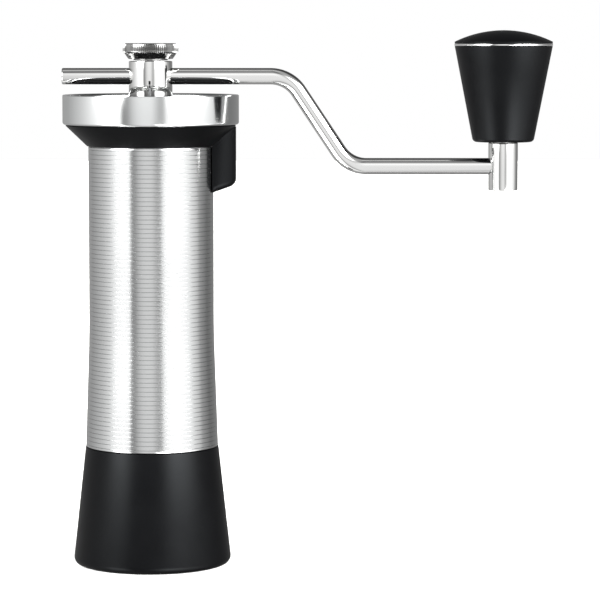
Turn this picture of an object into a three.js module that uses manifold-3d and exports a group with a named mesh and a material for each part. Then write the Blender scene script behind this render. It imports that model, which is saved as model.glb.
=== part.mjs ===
// Hand crank coffee grinder with conical burrs, as an assembly of separate solids.
// Millimetres, +Z up. The origin is the centre of the cup's foot and the crank points along +X.
import * as THREE from "three";
import { mergeVertices } from "three/addons/utils/BufferGeometryUtils.js";
import Module from "manifold-3d";

const wasm = await Module();
wasm.setup();

// ---------------------------------------------------------------- driving dimensions

const GAP = 0.3; // clearance between neighbouring pieces
const OVERCUT = 1; // how far a cutting tool runs past the face that it opens

const ROUND = { fine: 28, medium: 20, coarse: 12, tiny: 8 }; // sides of a turned piece

// Outer sleeve and chassis tube
const GRIP_RADIUS = 25.2;
const SLEEVE_LENGTH = 121;
const SLEEVE_WALL = 0.9;
const SLEEVE_FLARE = 1.58; // how much wider the sleeve is at its foot
const FLARE_LENGTH = 54;
const TUBE_WALL = 1.7;
const SPIGOT_LENGTH = 7; // the tube's end that enters the cup
const TUBE_ABOVE_SLEEVE = 4.6;

// Catch cup
const CUP_HEIGHT = 48;
const CUP_LIP = 0.17; // how far the cup's rim stands out from the sleeve
const CUP_FLARE = 5.2;
const CUP_WALL = 2.4;
const CUP_FLOOR = 3;
const CUP_FOOT_FILLET = 3.2;
const CUP_LEDGE = 2.2; // width of the ledge that carries the steel ring
const CUP_LEDGE_HEIGHT = 2;
const STEEL_RING_HEIGHT = 1.2;

// Burrs
const BURR_HEIGHT = 14;
const BURR_OUTLET_RADIUS = 19.3; // inside the ring burr at its lower end
const BURR_INLET_RADIUS = 16.5;
const BURR_OUTLET_GAP = 0.6;
const BURR_TOOTH = 0.5;
const RING_BURR_TEETH = 24;
const CONE_BURR_TEETH = 18;
const CONE_BURR_TOP_RADIUS = 8;
const CONE_BURR_HOLLOW = 1.4; // above 1 the cone's waist is hollow
const CONE_BURR_DROP = 0.8; // the cone burr's lower end stands below the ring burr's
const BURR_TWIST = 0.42; // radians, over the burr's height
const MAGNET_HEIGHT = 2;
const RETAINER_HEIGHT = 8.7;

// Shaft, bearing, brackets
const SHAFT_RADIUS = 4;
const SHAFT_ABOVE_RING = 3.2; // the hexagonal end above the hopper ring's top
const HEXAGON_LENGTH = 12;
const BUSH_WALL = 1.5;
const BEARING_SECTION = 4;
const BEARING_HEIGHT = 5;
const BEARING_RACE = 1.3; // thickness of the inner ring
const BRACKET_WALL = 1.6;
const BRACKET_ARMS = 3;
const BRACKET_ARM_WIDTH = 4.2;
const BRACKET_ARM_HEIGHT = 5.5;
const BRACKET_ARM_BITE = 0.4; // how far an arm runs into its hub
const LOWER_BRACKET_HEIGHT = 8;
const THROAT_HEIGHT = 2;
const FUNNEL_HEIGHT = 8;
const SCREW_RADIUS = 1.25;
const SCREW_HEAD_RADIUS = 2.2;
const SCREW_HEAD_HEIGHT = 0.8;
const SCREW_LENGTH = 8;

// Bearing carrier, adjusting dial, spring
const CARRIER_WALL = 1.1;
const CARRIER_HEIGHT = 15;
const CARRIER_FLANGE_HEIGHT = 2.2;
const DIAL_WALL = 1.8;
const DIAL_SKIRT = 7;
const DIAL_TOP = 3;
const DIAL_SCALLOPS = 12;
const DIAL_SCALLOP_RADIUS = 2.4;
const DIAL_SCALLOP_DEPTH = 0.6;
const DIAL_BELOW_HUB = 4;
const DIAL_TRAVEL_DOWN = 1; // how far the dial can lower the shaft
const SNAP_RING_HEIGHT = 0.9;
const SPRING_WIRE_RADIUS = 0.55;
const SPRING_LENGTH = 7;
const SPRING_TURNS = 3;
const SPRING_LEDGE_HEIGHT = 1.6;
const CLIP_HEIGHT = 0.9;
const CLIP_WIDTH = 2;
const FEEDER_RADIUS = 11;
const FEEDER_HEIGHT = 7;
const FEEDER_LOBES = 3;
const FEEDER_CORE_WALL = 2;
const FEEDER_LOBE_ROOT = 2.4; // where the lobes leave the core, from the shaft
const FEEDER_TAPER = 0.35; // share of a lobe's reach lost at the top

// Collar, ring and lid
const COLLAR_HEIGHT = 8.4;
const COLLAR_FOOT_STEP = 0.45; // how far the collar's foot stands out from the sleeve
const RING_OVERHANG = 10.3; // how far the ring stands out from the grip
const RING_HEIGHT = 12;
const RING_WALL = 3.1;
const RING_EDGE = 0.5;
const RING_FOOT_FILLET = 1.1;
const LINER_WALL = 1.7;
const LID_RECESS = 1.7; // the lid's top below the ring's top
const LID_THICKNESS = 1.8;
const LID_SKIRT_HEIGHT = 1.6;
const LID_SKIRT_WALL = 1.4;
const THUMB_REST_HALF_WIDTH = 5.9;
const THUMB_REST_LENGTH = 26.8; // from the ring down to the toe next to the sleeve
const THUMB_REST_RISE = 3; // how much the slanted toe rises towards its nose
const THUMB_REST_REACH = 9.15; // how far the nose stands out from the grip

// Crank
const ROD_RADIUS = 3.3;
const ROD_ABOVE_RING = 7.4; // the rod's axis above the hopper ring's top
const CRANK_RADIUS = 142; // from the shaft's axis to the knob's axis
const CRANK_DROP = 36.2;
const CRANK_SLOPE = THREE.MathUtils.degToRad(56.3);
const CRANK_BEND_RADIUS = 13.5;
const CRANK_FIRST_CORNER = 55.5; // from the shaft's axis to the first bend's corner
const ROD_STUB = 35.7; // the rod's free end on the far side of the hub
const BEND_STEPS = 5;
const HUB_RADIUS = 8.75;
const HUB_ABOVE_ROD = 6.1;
const HUB_BELOW_RING = 6.4;
const HUB_SLIT_WIDTH = 0.8;
const HUB_SLIT_BELOW_ROD = 1.8; // the slit's upper end below the rod's axis
const HUB_RING_WIRE = 0.7;
const HUB_SOCKET_PLAY = 0.42; // between the shaft's hexagon and the hub's socket
const CLAMP_SCREW_RADIUS = 4;
const CLAMP_PAD_HEIGHT = 1.3;
const SCREW_CAP_RADIUS = 11.2;
const SCREW_CAP_KNURL_HEIGHT = 4;
const SCREW_CAP_CHAMFER_HEIGHT = 2.3;
const SCREW_CAP_FOOT_RADIUS = 8.9;
const SCREW_NECK_RADIUS = 6.9;
const SCREW_NECK_HEIGHT = 0.5;
const SCREW_CAP_BARREL = 0.7; // how much the knurled band draws in above its foot
const SCREW_CAP_EDGE = 1.2;
const SCREW_CAP_SOCKET_RADIUS = 3;
const SCREW_CAP_SOCKET_DEPTH = 1.5;

// Knob
const SPINDLE_RADIUS = 5.95;
const SPINDLE_BELOW_ROD = 9.7;
const SPINDLE_ABOVE_ROD = 9.5;
const SPINDLE_NECK_RADIUS = 3.5;
const SPINDLE_NECK_LENGTH = 29;
const SPINDLE_SCREW_HEAD_HEIGHT = 2;
const SPINDLE_SCREW_HEAD_EDGE = 1.4;
const SPINDLE_SCREW_HEAD_CHAMFER = 1;
const KNOB_HEIGHT = 38.6;
const KNOB_FOOT_RADIUS = 12.2;
const KNOB_TOP_RADIUS = 19.7;
const KNOB_FOOT_FILLET = 1.4;
const KNOB_POCKET_WALL = 2.2; // knob wall around the screw's pocket, past the washer
const KNOB_BUSH_WALL = 1.2;
const KNOB_BUSH_HEIGHT = 6;
const KNOB_RING_HEIGHT = 0.55;
const KNOB_CAP_HEIGHT = 5.5;
const KNOB_CAP_EDGE = 0.9;
const WASHER_HEIGHT = 0.8;
const WASHER_RADIUS = 6;

// ---------------------------------------------------------------- heights, from the foot up

const sleeveFoot = CUP_HEIGHT + GAP;
const sleeveTop = sleeveFoot + SLEEVE_LENGTH;
const collarFoot = sleeveTop + GAP;
const collarTop = collarFoot + COLLAR_HEIGHT;
const ringFoot = collarTop + GAP;
const ringTop = ringFoot + RING_HEIGHT;
const tubeTop = sleeveTop + TUBE_ABOVE_SLEEVE;
const tubeFoot = sleeveFoot - SPIGOT_LENGTH;
const rodHeight = ringTop + ROD_ABOVE_RING;
const hubFoot = ringTop - HUB_BELOW_RING;
const hubTop = rodHeight + HUB_ABOVE_ROD;
const knobRodHeight = rodHeight - CRANK_DROP;

// ---------------------------------------------------------------- radii that follow from others

const sleeveBore = GRIP_RADIUS - SLEEVE_WALL;
const tubeRadius = sleeveBore - GAP;
const tubeBore = tubeRadius - TUBE_WALL;
const sleeveFootRadius = GRIP_RADIUS + SLEEVE_FLARE;
const cupRimRadius = sleeveFootRadius + CUP_LIP;
const cupFootRadius = cupRimRadius + CUP_FLARE;
const burrRadius = tubeBore - GAP;
const burrSeatRadius = BURR_OUTLET_RADIUS + GAP;
const ringRadius = GRIP_RADIUS + RING_OVERHANG;
const ringBore = ringRadius - RING_WALL;
const linerRadius = ringBore - GAP;
const linerBore = linerRadius - LINER_WALL;
const bearingRadius = SHAFT_RADIUS + BEARING_SECTION;
const carrierBore = bearingRadius + GAP;
const carrierRadius = carrierBore + CARRIER_WALL;
const bracketBore = carrierRadius + GAP;
const bracketRadius = bracketBore + BRACKET_WALL;
const dialBore = bracketRadius + GAP;
const dialRadius = dialBore + DIAL_WALL;
const shaftHole = SHAFT_RADIUS + GAP;

// ---------------------------------------------------------------- geometry helpers

// Points on an arc of a turned profile, angles in degrees, measured from +r towards +z.
function arc(r, z, radius, from, to, steps = 4) {
  return Array.from({ length: steps + 1 }, (_, i) => {
    const angle = THREE.MathUtils.degToRad(from + ((to - from) * i) / steps);
    return [r + radius * Math.cos(angle), z + radius * Math.sin(angle)];
  });
}

// A solid of revolution about Z. The profile runs anticlockwise in the (r, z) half plane.
function turned(profile, sides) {
  const points = profile.map(([r, z]) => new THREE.Vector2(Math.max(r, 0), z));
  if (profile[0][0] > 0 || profile.at(-1)[0] > 0) points.push(points[0].clone());
  return new THREE.LatheGeometry(points, sides).rotateX(Math.PI / 2);
}

// A plain ring between two radii and two heights.
function ringShape(inner, outer, low, high, sides) {
  return turned([[inner, low], [outer, low], [outer, high], [inner, high]], sides);
}

// A plain cylinder standing on Z.
function rod(radius, low, high, sides) {
  return turned([[0, low], [radius, low], [radius, high], [0, high]], sides);
}

// A cylinder along X from one place to another.
function crossRod(radius, from, to, z, sides) {
  return rod(radius, from, to, sides).rotateY(Math.PI / 2).translate(0, 0, z);
}

// A box given by its lowest and highest corner.
function block(low, high) {
  const size = high.map((value, i) => value - low[i]);
  const centre = high.map((value, i) => (value + low[i]) / 2);
  return new THREE.BoxGeometry(...size).translate(...centre);
}

// A toothed bar along Z. place(wall, share) gives the radius and the turn of each wall of its
// cross section (bore, root or tip of a tooth) at a share of the height.
function toothed(teeth, height, steps, hole, place) {
  const outline = new THREE.Shape();
  for (let i = 0; i < 2 * teeth; i++) {
    const angle = (i * Math.PI) / teeth;
    const radius = 2 - (i % 2);
    if (i) outline.lineTo(radius * Math.cos(angle), radius * Math.sin(angle));
    else outline.moveTo(radius, 0);
  }
  if (hole) {
    const bore = new THREE.Path();
    for (let i = 0; i < teeth; i++) {
      const angle = (-i * 2 * Math.PI) / teeth;
      if (i) bore.lineTo(0.5 * Math.cos(angle), 0.5 * Math.sin(angle));
      else bore.moveTo(0.5, 0);
    }
    outline.holes.push(bore);
  }
  const geometry = new THREE.ExtrudeGeometry(outline, { depth: height, steps, bevelEnabled: false });
  const position = geometry.attributes.position;
  for (let i = 0; i < position.count; i++) {
    const x = position.getX(i);
    const y = position.getY(i);
    const z = position.getZ(i);
    const mark = Math.hypot(x, y);
    const wall = mark < 0.75 ? "bore" : mark < 1.5 ? "root" : "tip";
    const { radius, turn } = place(wall, z / height);
    const angle = Math.atan2(y, x) + turn;
    position.setXY(i, radius * Math.cos(angle), radius * Math.sin(angle));
  }
  return geometry;
}

function toSolid(geometry) {
  const bare = geometry.index ? geometry.toNonIndexed() : geometry.clone();
  bare.deleteAttribute("normal");
  bare.deleteAttribute("uv");
  const merged = mergeVertices(bare, 1e-4);
  return new wasm.Manifold(
    new wasm.Mesh({
      numProp: 3,
      vertProperties: merged.attributes.position.array,
      triVerts: new Uint32Array(merged.index.array),
    }),
  );
}

function toGeometry(solid) {
  const { vertProperties, triVerts } = solid.getMesh();
  const geometry = new THREE.BufferGeometry();
  geometry.setAttribute("position", new THREE.BufferAttribute(vertProperties, 3));
  geometry.setIndex(new THREE.BufferAttribute(triVerts, 1));
  return geometry;
}

function cut(body, ...tools) {
  return toGeometry(tools.reduce((left, tool) => left.subtract(toSolid(tool)), toSolid(body)));
}

function join(body, ...others) {
  return toGeometry(others.reduce((whole, other) => whole.add(toSolid(other)), toSolid(body)));
}

// ---------------------------------------------------------------- materials

const finish = (color, roughness, metalness) =>
  new THREE.MeshStandardMaterial({ color, roughness, metalness });
const FINISH = {
  polished: finish(0xd8d8d6, 0.12, 1),
  ribbed: finish(0xcfcfcc, 0.3, 1),
  machined: finish(0xa9abad, 0.4, 1),
  burr: finish(0x5a5c60, 0.35, 1),
  brass: finish(0xb5924c, 0.35, 1),
  black: finish(0x1e1f20, 0.45, 0),
  rubber: finish(0x18191a, 0.8, 0),
  polymer: finish(0xe6e2d6, 0.6, 0),
};

function piece(name, geometry, material) {
  const mesh = new THREE.Mesh(geometry, material);
  mesh.name = name;
  return mesh;
}

function assembly(...pieces) {
  return new THREE.Group().add(...pieces);
}

// ---------------------------------------------------------------- catch cup

// Outer radius of the cup at a height.
function cupRadiusAt(z) {
  return cupFootRadius + ((cupRimRadius - cupFootRadius) * z) / CUP_HEIGHT;
}

const cupMouth = tubeRadius + GAP;
const steelRingTop = tubeFoot - GAP;
const steelRingFoot = steelRingTop - STEEL_RING_HEIGHT;

function cupShell() {
  const ledgeTop = steelRingFoot - GAP;
  const ledgeFoot = ledgeTop - CUP_LEDGE_HEIGHT;
  const ledgeBore = cupMouth - CUP_LEDGE;
  const below = ledgeFoot - CUP_LEDGE_HEIGHT;
  const fillet = CUP_FOOT_FILLET;
  const footSide = cupRadiusAt(fillet);
  return turned(
    [
      [0, 0],
      ...arc(footSide - fillet, fillet, fillet, -90, -7, 3),
      [cupRimRadius, CUP_HEIGHT],
      [cupMouth, CUP_HEIGHT],
      [cupMouth, ledgeTop],
      [ledgeBore, ledgeTop],
      [ledgeBore, ledgeFoot],
      [cupRadiusAt(below) - CUP_WALL, below],
      [cupRadiusAt(2 * CUP_FLOOR) - CUP_WALL, 2 * CUP_FLOOR],
      [cupRadiusAt(CUP_FLOOR) - CUP_WALL - CUP_FLOOR, CUP_FLOOR],
      [0, CUP_FLOOR],
    ],
    ROUND.fine,
  );
}

function catchCup() {
  const steelRing = ringShape(burrSeatRadius, tubeRadius, steelRingFoot, steelRingTop, ROUND.medium);
  return assembly(
    piece("catch_cup", cupShell(), FINISH.black),
    piece("cup_steel_ring", steelRing, FINISH.machined),
  );
}

// ---------------------------------------------------------------- heights inside the tube

const magnetTop = tubeFoot + MAGNET_HEIGHT;
const retainerFoot = magnetTop + GAP;
const retainerTop = retainerFoot + RETAINER_HEIGHT;
const burrFoot = retainerTop + GAP;
const burrTop = burrFoot + BURR_HEIGHT;
const throatFoot = burrTop + GAP;
const throatTop = throatFoot + THROAT_HEIGHT;
const funnelTop = throatTop + FUNNEL_HEIGHT;
const lowerBracketFoot = funnelTop + GAP;
const dialTopHeight = hubFoot - DIAL_BELOW_HUB;
const dialPlateFoot = dialTopHeight - DIAL_TOP;
const flangeTop = dialPlateFoot - GAP;
const flangeFoot = flangeTop - CARRIER_FLANGE_HEIGHT;
const snapRingTop = flangeFoot - GAP;
const snapRingFoot = snapRingTop - SNAP_RING_HEIGHT;
const dialFoot = snapRingFoot - DIAL_SKIRT;
const upperBracketTop = snapRingFoot - GAP - DIAL_TRAVEL_DOWN;
const carrierFoot = flangeTop - CARRIER_HEIGHT;
const springTop = carrierFoot - GAP;
const springFoot = springTop - SPRING_LENGTH;
const springLedgeTop = springFoot - GAP;
const upperBracketFoot = springLedgeTop - SPRING_LEDGE_HEIGHT;
const armAngles = Array.from(
  { length: BRACKET_ARMS },
  (_, i) => Math.PI / 2 + (i * 2 * Math.PI) / BRACKET_ARMS,
);

// ---------------------------------------------------------------- housing

// Outer radius of the sleeve: straight along the grip, then a curve that eases into a straight flare.
function sleeveProfile() {
  const steps = 5;
  return Array.from({ length: steps + 1 }, (_, i) => {
    const share = i / steps; // 0 at the foot, 1 where the grip begins
    const widening = 1 - share;
    const ease = widening < 0.3 ? widening ** 2 / 0.6 : widening - 0.15;
    return [GRIP_RADIUS + (SLEEVE_FLARE * ease) / 0.85, sleeveFoot + FLARE_LENGTH * share];
  });
}

function outerSleeve() {
  const profile = [
    [sleeveBore, sleeveFoot],
    ...sleeveProfile(),
    [GRIP_RADIUS, sleeveTop],
    [sleeveBore, sleeveTop],
  ];
  return turned(profile, ROUND.fine);
}

// A cutting tool along every bracket arm's screw.
function screwTools(z, radius, from, to) {
  return armAngles.map((angle) => crossRod(radius, from, to, z, ROUND.tiny).rotateZ(angle));
}

function bracketScrewHeights() {
  return [lowerBracketFoot, upperBracketFoot].map((foot) => foot + BRACKET_ARM_HEIGHT / 2);
}

function chassisTube() {
  const profile = [
    [tubeBore, tubeFoot],
    [tubeRadius, tubeFoot],
    [tubeRadius, tubeTop],
    [tubeBore, tubeTop],
    [tubeBore, funnelTop],
    [burrSeatRadius - BURR_OUTLET_RADIUS + BURR_INLET_RADIUS, throatTop],
    [burrSeatRadius - BURR_OUTLET_RADIUS + BURR_INLET_RADIUS, throatFoot],
    [tubeBore, throatFoot],
  ];
  const headSeat = tubeRadius - SCREW_HEAD_HEIGHT - GAP;
  const tools = bracketScrewHeights().flatMap((z) => [
    ...screwTools(z, SCREW_RADIUS + GAP, tubeBore - OVERCUT, tubeRadius),
    ...screwTools(z, SCREW_HEAD_RADIUS + GAP, headSeat - GAP, tubeRadius + OVERCUT),
  ]);
  return cut(turned(profile, ROUND.fine), ...tools);
}

// A hub with arms that reach the tube's wall. The screws that hold it run into the arms.
function bracket(hub, hubRadius, foot) {
  const reach = tubeBore - GAP;
  const half = BRACKET_ARM_WIDTH / 2;
  const arms = armAngles.map((angle) =>
    block(
      [hubRadius - BRACKET_ARM_BITE, -half, foot],
      [reach, half, foot + BRACKET_ARM_HEIGHT],
    ).rotateZ(angle),
  );
  const trim = rod(reach, foot - OVERCUT, foot + BRACKET_ARM_HEIGHT + OVERCUT, ROUND.medium);
  const star = toGeometry(arms.map(toSolid).reduce((a, b) => a.add(b)).intersect(toSolid(trim)));
  const holes = screwTools(foot + BRACKET_ARM_HEIGHT / 2, SCREW_RADIUS + GAP,
    tubeRadius - SCREW_LENGTH - 2 * GAP, tubeRadius);
  return cut(join(hub, star), ...holes);
}

const bushRadius = shaftHole + BUSH_WALL;
const lowerHubRadius = bushRadius + GAP + BRACKET_WALL;

function lowerBracket() {
  const hub = ringShape(bushRadius + GAP, lowerHubRadius, lowerBracketFoot,
    lowerBracketFoot + LOWER_BRACKET_HEIGHT, ROUND.medium);
  return bracket(hub, lowerHubRadius, lowerBracketFoot);
}

function upperBracket() {
  const profile = [
    [shaftHole + OVERCUT, upperBracketFoot],
    [bracketRadius, upperBracketFoot],
    [bracketRadius, upperBracketTop],
    [bracketBore, upperBracketTop],
    [bracketBore, springLedgeTop],
    [shaftHole + OVERCUT, springLedgeTop],
  ];
  return bracket(turned(profile, ROUND.medium), bracketRadius, upperBracketFoot);
}

function bracketScrew(z, angle) {
  const headFoot = tubeRadius - SCREW_HEAD_HEIGHT - GAP / 3;
  const profile = [
    [0, tubeRadius - SCREW_LENGTH],
    [SCREW_RADIUS, tubeRadius - SCREW_LENGTH],
    [SCREW_RADIUS, headFoot],
    [SCREW_HEAD_RADIUS, headFoot],
    [SCREW_HEAD_RADIUS, tubeRadius - GAP / 3],
    [0, tubeRadius - GAP / 3],
  ];
  return turned(profile, ROUND.tiny).rotateY(Math.PI / 2).translate(0, 0, z).rotateZ(angle);
}

function bracketScrews() {
  const places = bracketScrewHeights().flatMap((z) => armAngles.map((angle) => [z, angle]));
  return places.map(([z, angle], i) =>
    piece(`bracket_screw_${i + 1}`, bracketScrew(z, angle), FINISH.machined),
  );
}

// Half ellipse seen from above, so that its flanks run smoothly into a round nose.
function thumbRest() {
  const root = tubeRadius + GAP + OVERCUT;
  const reach = GRIP_RADIUS + THUMB_REST_REACH - root;
  const outline = new THREE.Shape();
  outline.moveTo(root, -THUMB_REST_HALF_WIDTH);
  outline.absellipse(root, 0, reach, THUMB_REST_HALF_WIDTH, -Math.PI / 2, Math.PI / 2, false);
  const toe = collarTop - THUMB_REST_LENGTH;
  const settings = { depth: THUMB_REST_LENGTH, bevelEnabled: false, curveSegments: 9 };
  const post = new THREE.ExtrudeGeometry(outline, settings);
  const slope = Math.atan(THUMB_REST_RISE / THUMB_REST_REACH);
  const wedge = block([-2 * reach, -GRIP_RADIUS, -GRIP_RADIUS], [3 * reach, GRIP_RADIUS, 0])
    .rotateY(-slope)
    .translate(GRIP_RADIUS, 0, toe);
  const sleeveClearance = rod(GRIP_RADIUS + GAP, toe - OVERCUT, sleeveTop + GAP, ROUND.fine);
  return cut(post.translate(0, 0, toe), wedge, sleeveClearance);
}

const linerTop = ringTop - LID_RECESS - LID_THICKNESS - GAP;

function hopperCollar() {
  const footRadius = GRIP_RADIUS + COLLAR_FOOT_STEP;
  const shelf = ringRadius - RING_FOOT_FILLET;
  const funnelBore = tubeBore + GAP / 3;
  const profile = [
    [tubeRadius + GAP, collarFoot],
    [footRadius, collarFoot],
    [shelf, collarTop],
    [linerRadius, collarTop],
    [linerRadius, linerTop],
    [linerBore, linerTop],
    [linerBore, linerTop - LID_SKIRT_HEIGHT - 2 * GAP],
    [funnelBore, tubeTop + GAP + LINER_WALL],
    [funnelBore, tubeTop + GAP],
    [tubeRadius + GAP, tubeTop + GAP],
  ];
  return join(turned(profile, ROUND.fine), thumbRest());
}

function hopperRing() {
  const fillet = RING_FOOT_FILLET;
  return turned(
    [
      [ringBore, ringFoot],
      ...arc(ringRadius - fillet, ringFoot + fillet, fillet, -90, 0, 2),
      ...arc(ringRadius - RING_EDGE, ringTop - RING_EDGE, RING_EDGE, 0, 90, 1),
      ...arc(ringBore + RING_EDGE, ringTop - RING_EDGE, RING_EDGE, 90, 180, 1),
    ],
    ROUND.fine,
  );
}

// ---------------------------------------------------------------- burrs

function ringBurr() {
  const teeth = toothed(RING_BURR_TEETH, BURR_HEIGHT + 2 * OVERCUT, 4, false, (wall, share) => ({
    radius:
      BURR_OUTLET_RADIUS +
      (BURR_INLET_RADIUS - BURR_OUTLET_RADIUS) * share +
      (wall === "tip" ? BURR_TOOTH : 0),
    turn: BURR_TWIST * share,
  }));
  const blank = rod(burrRadius, burrFoot, burrTop, ROUND.medium);
  return cut(blank, teeth.translate(0, 0, burrFoot - OVERCUT));
}

function coneBurr() {
  const foot = burrFoot - CONE_BURR_DROP;
  const footRadius = BURR_OUTLET_RADIUS - BURR_OUTLET_GAP;
  const geometry = toothed(CONE_BURR_TEETH, BURR_HEIGHT, 5, true, (wall, share) => {
    const waist = footRadius - (footRadius - CONE_BURR_TOP_RADIUS) * share ** CONE_BURR_HOLLOW;
    const depth = BURR_TOOTH * (1 + 2 * share);
    const radius = { bore: shaftHole, root: waist - depth, tip: waist }[wall];
    return { radius, turn: wall === "bore" ? 0 : -BURR_TWIST * share };
  });
  return geometry.translate(0, 0, foot);
}

function burrGroup() {
  const magnet = ringShape(burrSeatRadius, burrRadius, tubeFoot, magnetTop, ROUND.medium);
  const retainer = ringShape(burrSeatRadius, burrRadius, retainerFoot, retainerTop, ROUND.medium);
  return assembly(
    piece("ring_burr", ringBurr(), FINISH.burr),
    piece("burr_retaining_ring", retainer, FINISH.machined),
    piece("ring_magnet", magnet, FINISH.machined),
  );
}

// ---------------------------------------------------------------- shaft and what turns with it

const shaftTop = ringTop + SHAFT_ABOVE_RING;
const coneBurrFoot = burrFoot - CONE_BURR_DROP;
const coneBurrTop = coneBurrFoot + BURR_HEIGHT;
const burrWasherTop = coneBurrFoot - GAP;
const burrWasherFoot = burrWasherTop - WASHER_HEIGHT;
const shaftFoot = coneBurrFoot;
const burrScrewShank = SHAFT_RADIUS / 2;
const burrScrewDepth = 10;
const feederFoot = coneBurrTop + GAP;
const bearingFoot = carrierFoot + CARRIER_WALL + GAP;
const bearingTop = bearingFoot + BEARING_HEIGHT;
const shoulderTop = bearingFoot - GAP;

function driveShaft() {
  const hexagonFoot = shaftTop - HEXAGON_LENGTH;
  const shoulder = SHAFT_RADIUS + BEARING_RACE - GAP;
  const screwHole = burrScrewShank + GAP;
  const bar = turned(
    [
      [screwHole, shaftFoot],
      [SHAFT_RADIUS, shaftFoot],
      [SHAFT_RADIUS, shoulderTop - BEARING_RACE],
      [shoulder, shoulderTop - BEARING_RACE],
      [shoulder, shoulderTop],
      [SHAFT_RADIUS, shoulderTop],
      [SHAFT_RADIUS, hexagonFoot],
      [0, hexagonFoot],
      [0, shaftFoot + burrScrewDepth + GAP],
      [screwHole, shaftFoot + burrScrewDepth + GAP],
    ],
    ROUND.coarse,
  );
  return join(bar, rod(SHAFT_RADIUS, hexagonFoot - OVERCUT, shaftTop, 6));
}

// A screw that enters from below, head down.
function burrScrew() {
  const headTop = burrWasherFoot - GAP;
  const headRadius = 1.7 * SHAFT_RADIUS;
  const headFoot = headTop - WASHER_HEIGHT - BEARING_RACE;
  return turned(
    [
      [0, headFoot],
      [headRadius - GAP, headFoot],
      [headRadius, headFoot + GAP],
      [headRadius, headTop],
      [burrScrewShank, headTop],
      [burrScrewShank, shaftFoot + burrScrewDepth],
      [0, shaftFoot + burrScrewDepth],
    ],
    ROUND.coarse,
  );
}

function beanFeeder() {
  const pitch = FEEDER_LOBES * 4;
  const coreRadius = SHAFT_RADIUS + FEEDER_CORE_WALL;
  const lobeRoot = SHAFT_RADIUS + FEEDER_LOBE_ROOT;
  const geometry = toothed(pitch, FEEDER_HEIGHT, 4, true, (wall, share) => ({
    radius: { bore: shaftHole, root: coreRadius, tip: lobeRoot }[wall],
    turn: wall === "bore" ? 0 : -BURR_TWIST * share,
  }));
  const position = geometry.attributes.position;
  for (let i = 0; i < position.count; i++) {
    const [x, y] = [position.getX(i), position.getY(i)];
    const mark = Math.hypot(x, y);
    if (mark < coreRadius - FEEDER_CORE_WALL / 2) continue;
    const share = position.getZ(i) / FEEDER_HEIGHT;
    const lobe = Math.max(0, Math.cos(FEEDER_LOBES * (Math.atan2(y, x) + BURR_TWIST * share))) ** 2;
    const height = (FEEDER_RADIUS - lobeRoot) * (1 - FEEDER_TAPER * share);
    const radius = mark + height * lobe;
    position.setXY(i, (x * radius) / mark, (y * radius) / mark);
  }
  return geometry.translate(0, 0, feederFoot);
}

function shaftGroup() {
  const washerBore = burrScrewShank + GAP;
  const washer = ringShape(washerBore, 2 * SHAFT_RADIUS, burrWasherFoot, burrWasherTop, ROUND.coarse);
  const race = ringShape(shaftHole, shaftHole + BEARING_RACE, bearingFoot, bearingTop, ROUND.coarse);
  const clip = ringShape(shaftHole, shaftHole + CLIP_WIDTH, bearingTop + GAP, bearingTop + GAP + CLIP_HEIGHT,
    ROUND.coarse);
  return assembly(
    piece("drive_shaft", driveShaft(), FINISH.machined),
    piece("cone_burr", coneBurr(), FINISH.burr),
    piece("bean_feeder", beanFeeder(), FINISH.machined),
    piece("burr_washer", washer, FINISH.machined),
    piece("burr_screw", burrScrew(), FINISH.machined),
    piece("bearing_inner_ring", race, FINISH.polished),
    piece("shaft_clip", clip, FINISH.machined),
  );
}

// ---------------------------------------------------------------- bearing carrier, dial and spring

function bearingCarrier() {
  return turned(
    [
      [shaftHole + BEARING_RACE + GAP, carrierFoot],
      [carrierRadius, carrierFoot],
      [carrierRadius, flangeFoot],
      [bracketRadius - GAP, flangeFoot],
      [bracketRadius - GAP, flangeTop],
      [carrierBore, flangeTop],
      [carrierBore, carrierFoot + CARRIER_WALL],
      [shaftHole + BEARING_RACE + GAP, carrierFoot + CARRIER_WALL],
    ],
    ROUND.medium,
  );
}

function adjustingDial() {
  const grips = Array.from({ length: DIAL_SCALLOPS }, (_, i) => {
    const angle = (i * 2 * Math.PI) / DIAL_SCALLOPS;
    return rod(DIAL_SCALLOP_RADIUS, dialFoot - OVERCUT, dialTopHeight + OVERCUT, ROUND.tiny)
      .translate(dialRadius + DIAL_SCALLOP_RADIUS - DIAL_SCALLOP_DEPTH, 0, 0)
      .rotateZ(angle);
  });
  const cup = turned(
    [
      [dialBore, dialFoot],
      [dialRadius, dialFoot],
      [dialRadius, dialTopHeight - GAP],
      [dialRadius - GAP, dialTopHeight],
      [shaftHole + OVERCUT, dialTopHeight],
      [shaftHole + OVERCUT, dialPlateFoot],
      [dialBore, dialPlateFoot],
    ],
    ROUND.medium,
  );
  return cut(cup, ...grips);
}

class Helix extends THREE.Curve {
  constructor(radius, foot, height, turns) {
    super();
    Object.assign(this, { radius, foot, height, turns });
  }
  getPoint(t, target = new THREE.Vector3()) {
    const angle = t * this.turns * 2 * Math.PI;
    const [x, y] = [this.radius * Math.cos(angle), this.radius * Math.sin(angle)];
    return target.set(x, y, this.foot + this.height * t);
  }
}

function backlashSpring() {
  const wire = new THREE.Shape().absarc(0, 0, SPRING_WIRE_RADIUS, 0, 2 * Math.PI);
  const radius = bracketBore - SPRING_WIRE_RADIUS - 2 * GAP;
  const rise = SPRING_LENGTH - 2 * SPRING_WIRE_RADIUS;
  const path = new Helix(radius, springFoot + SPRING_WIRE_RADIUS, rise, SPRING_TURNS);
  return new THREE.ExtrudeGeometry(wire, { steps: 12 * SPRING_TURNS, extrudePath: path, curveSegments: 3 });
}

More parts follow.
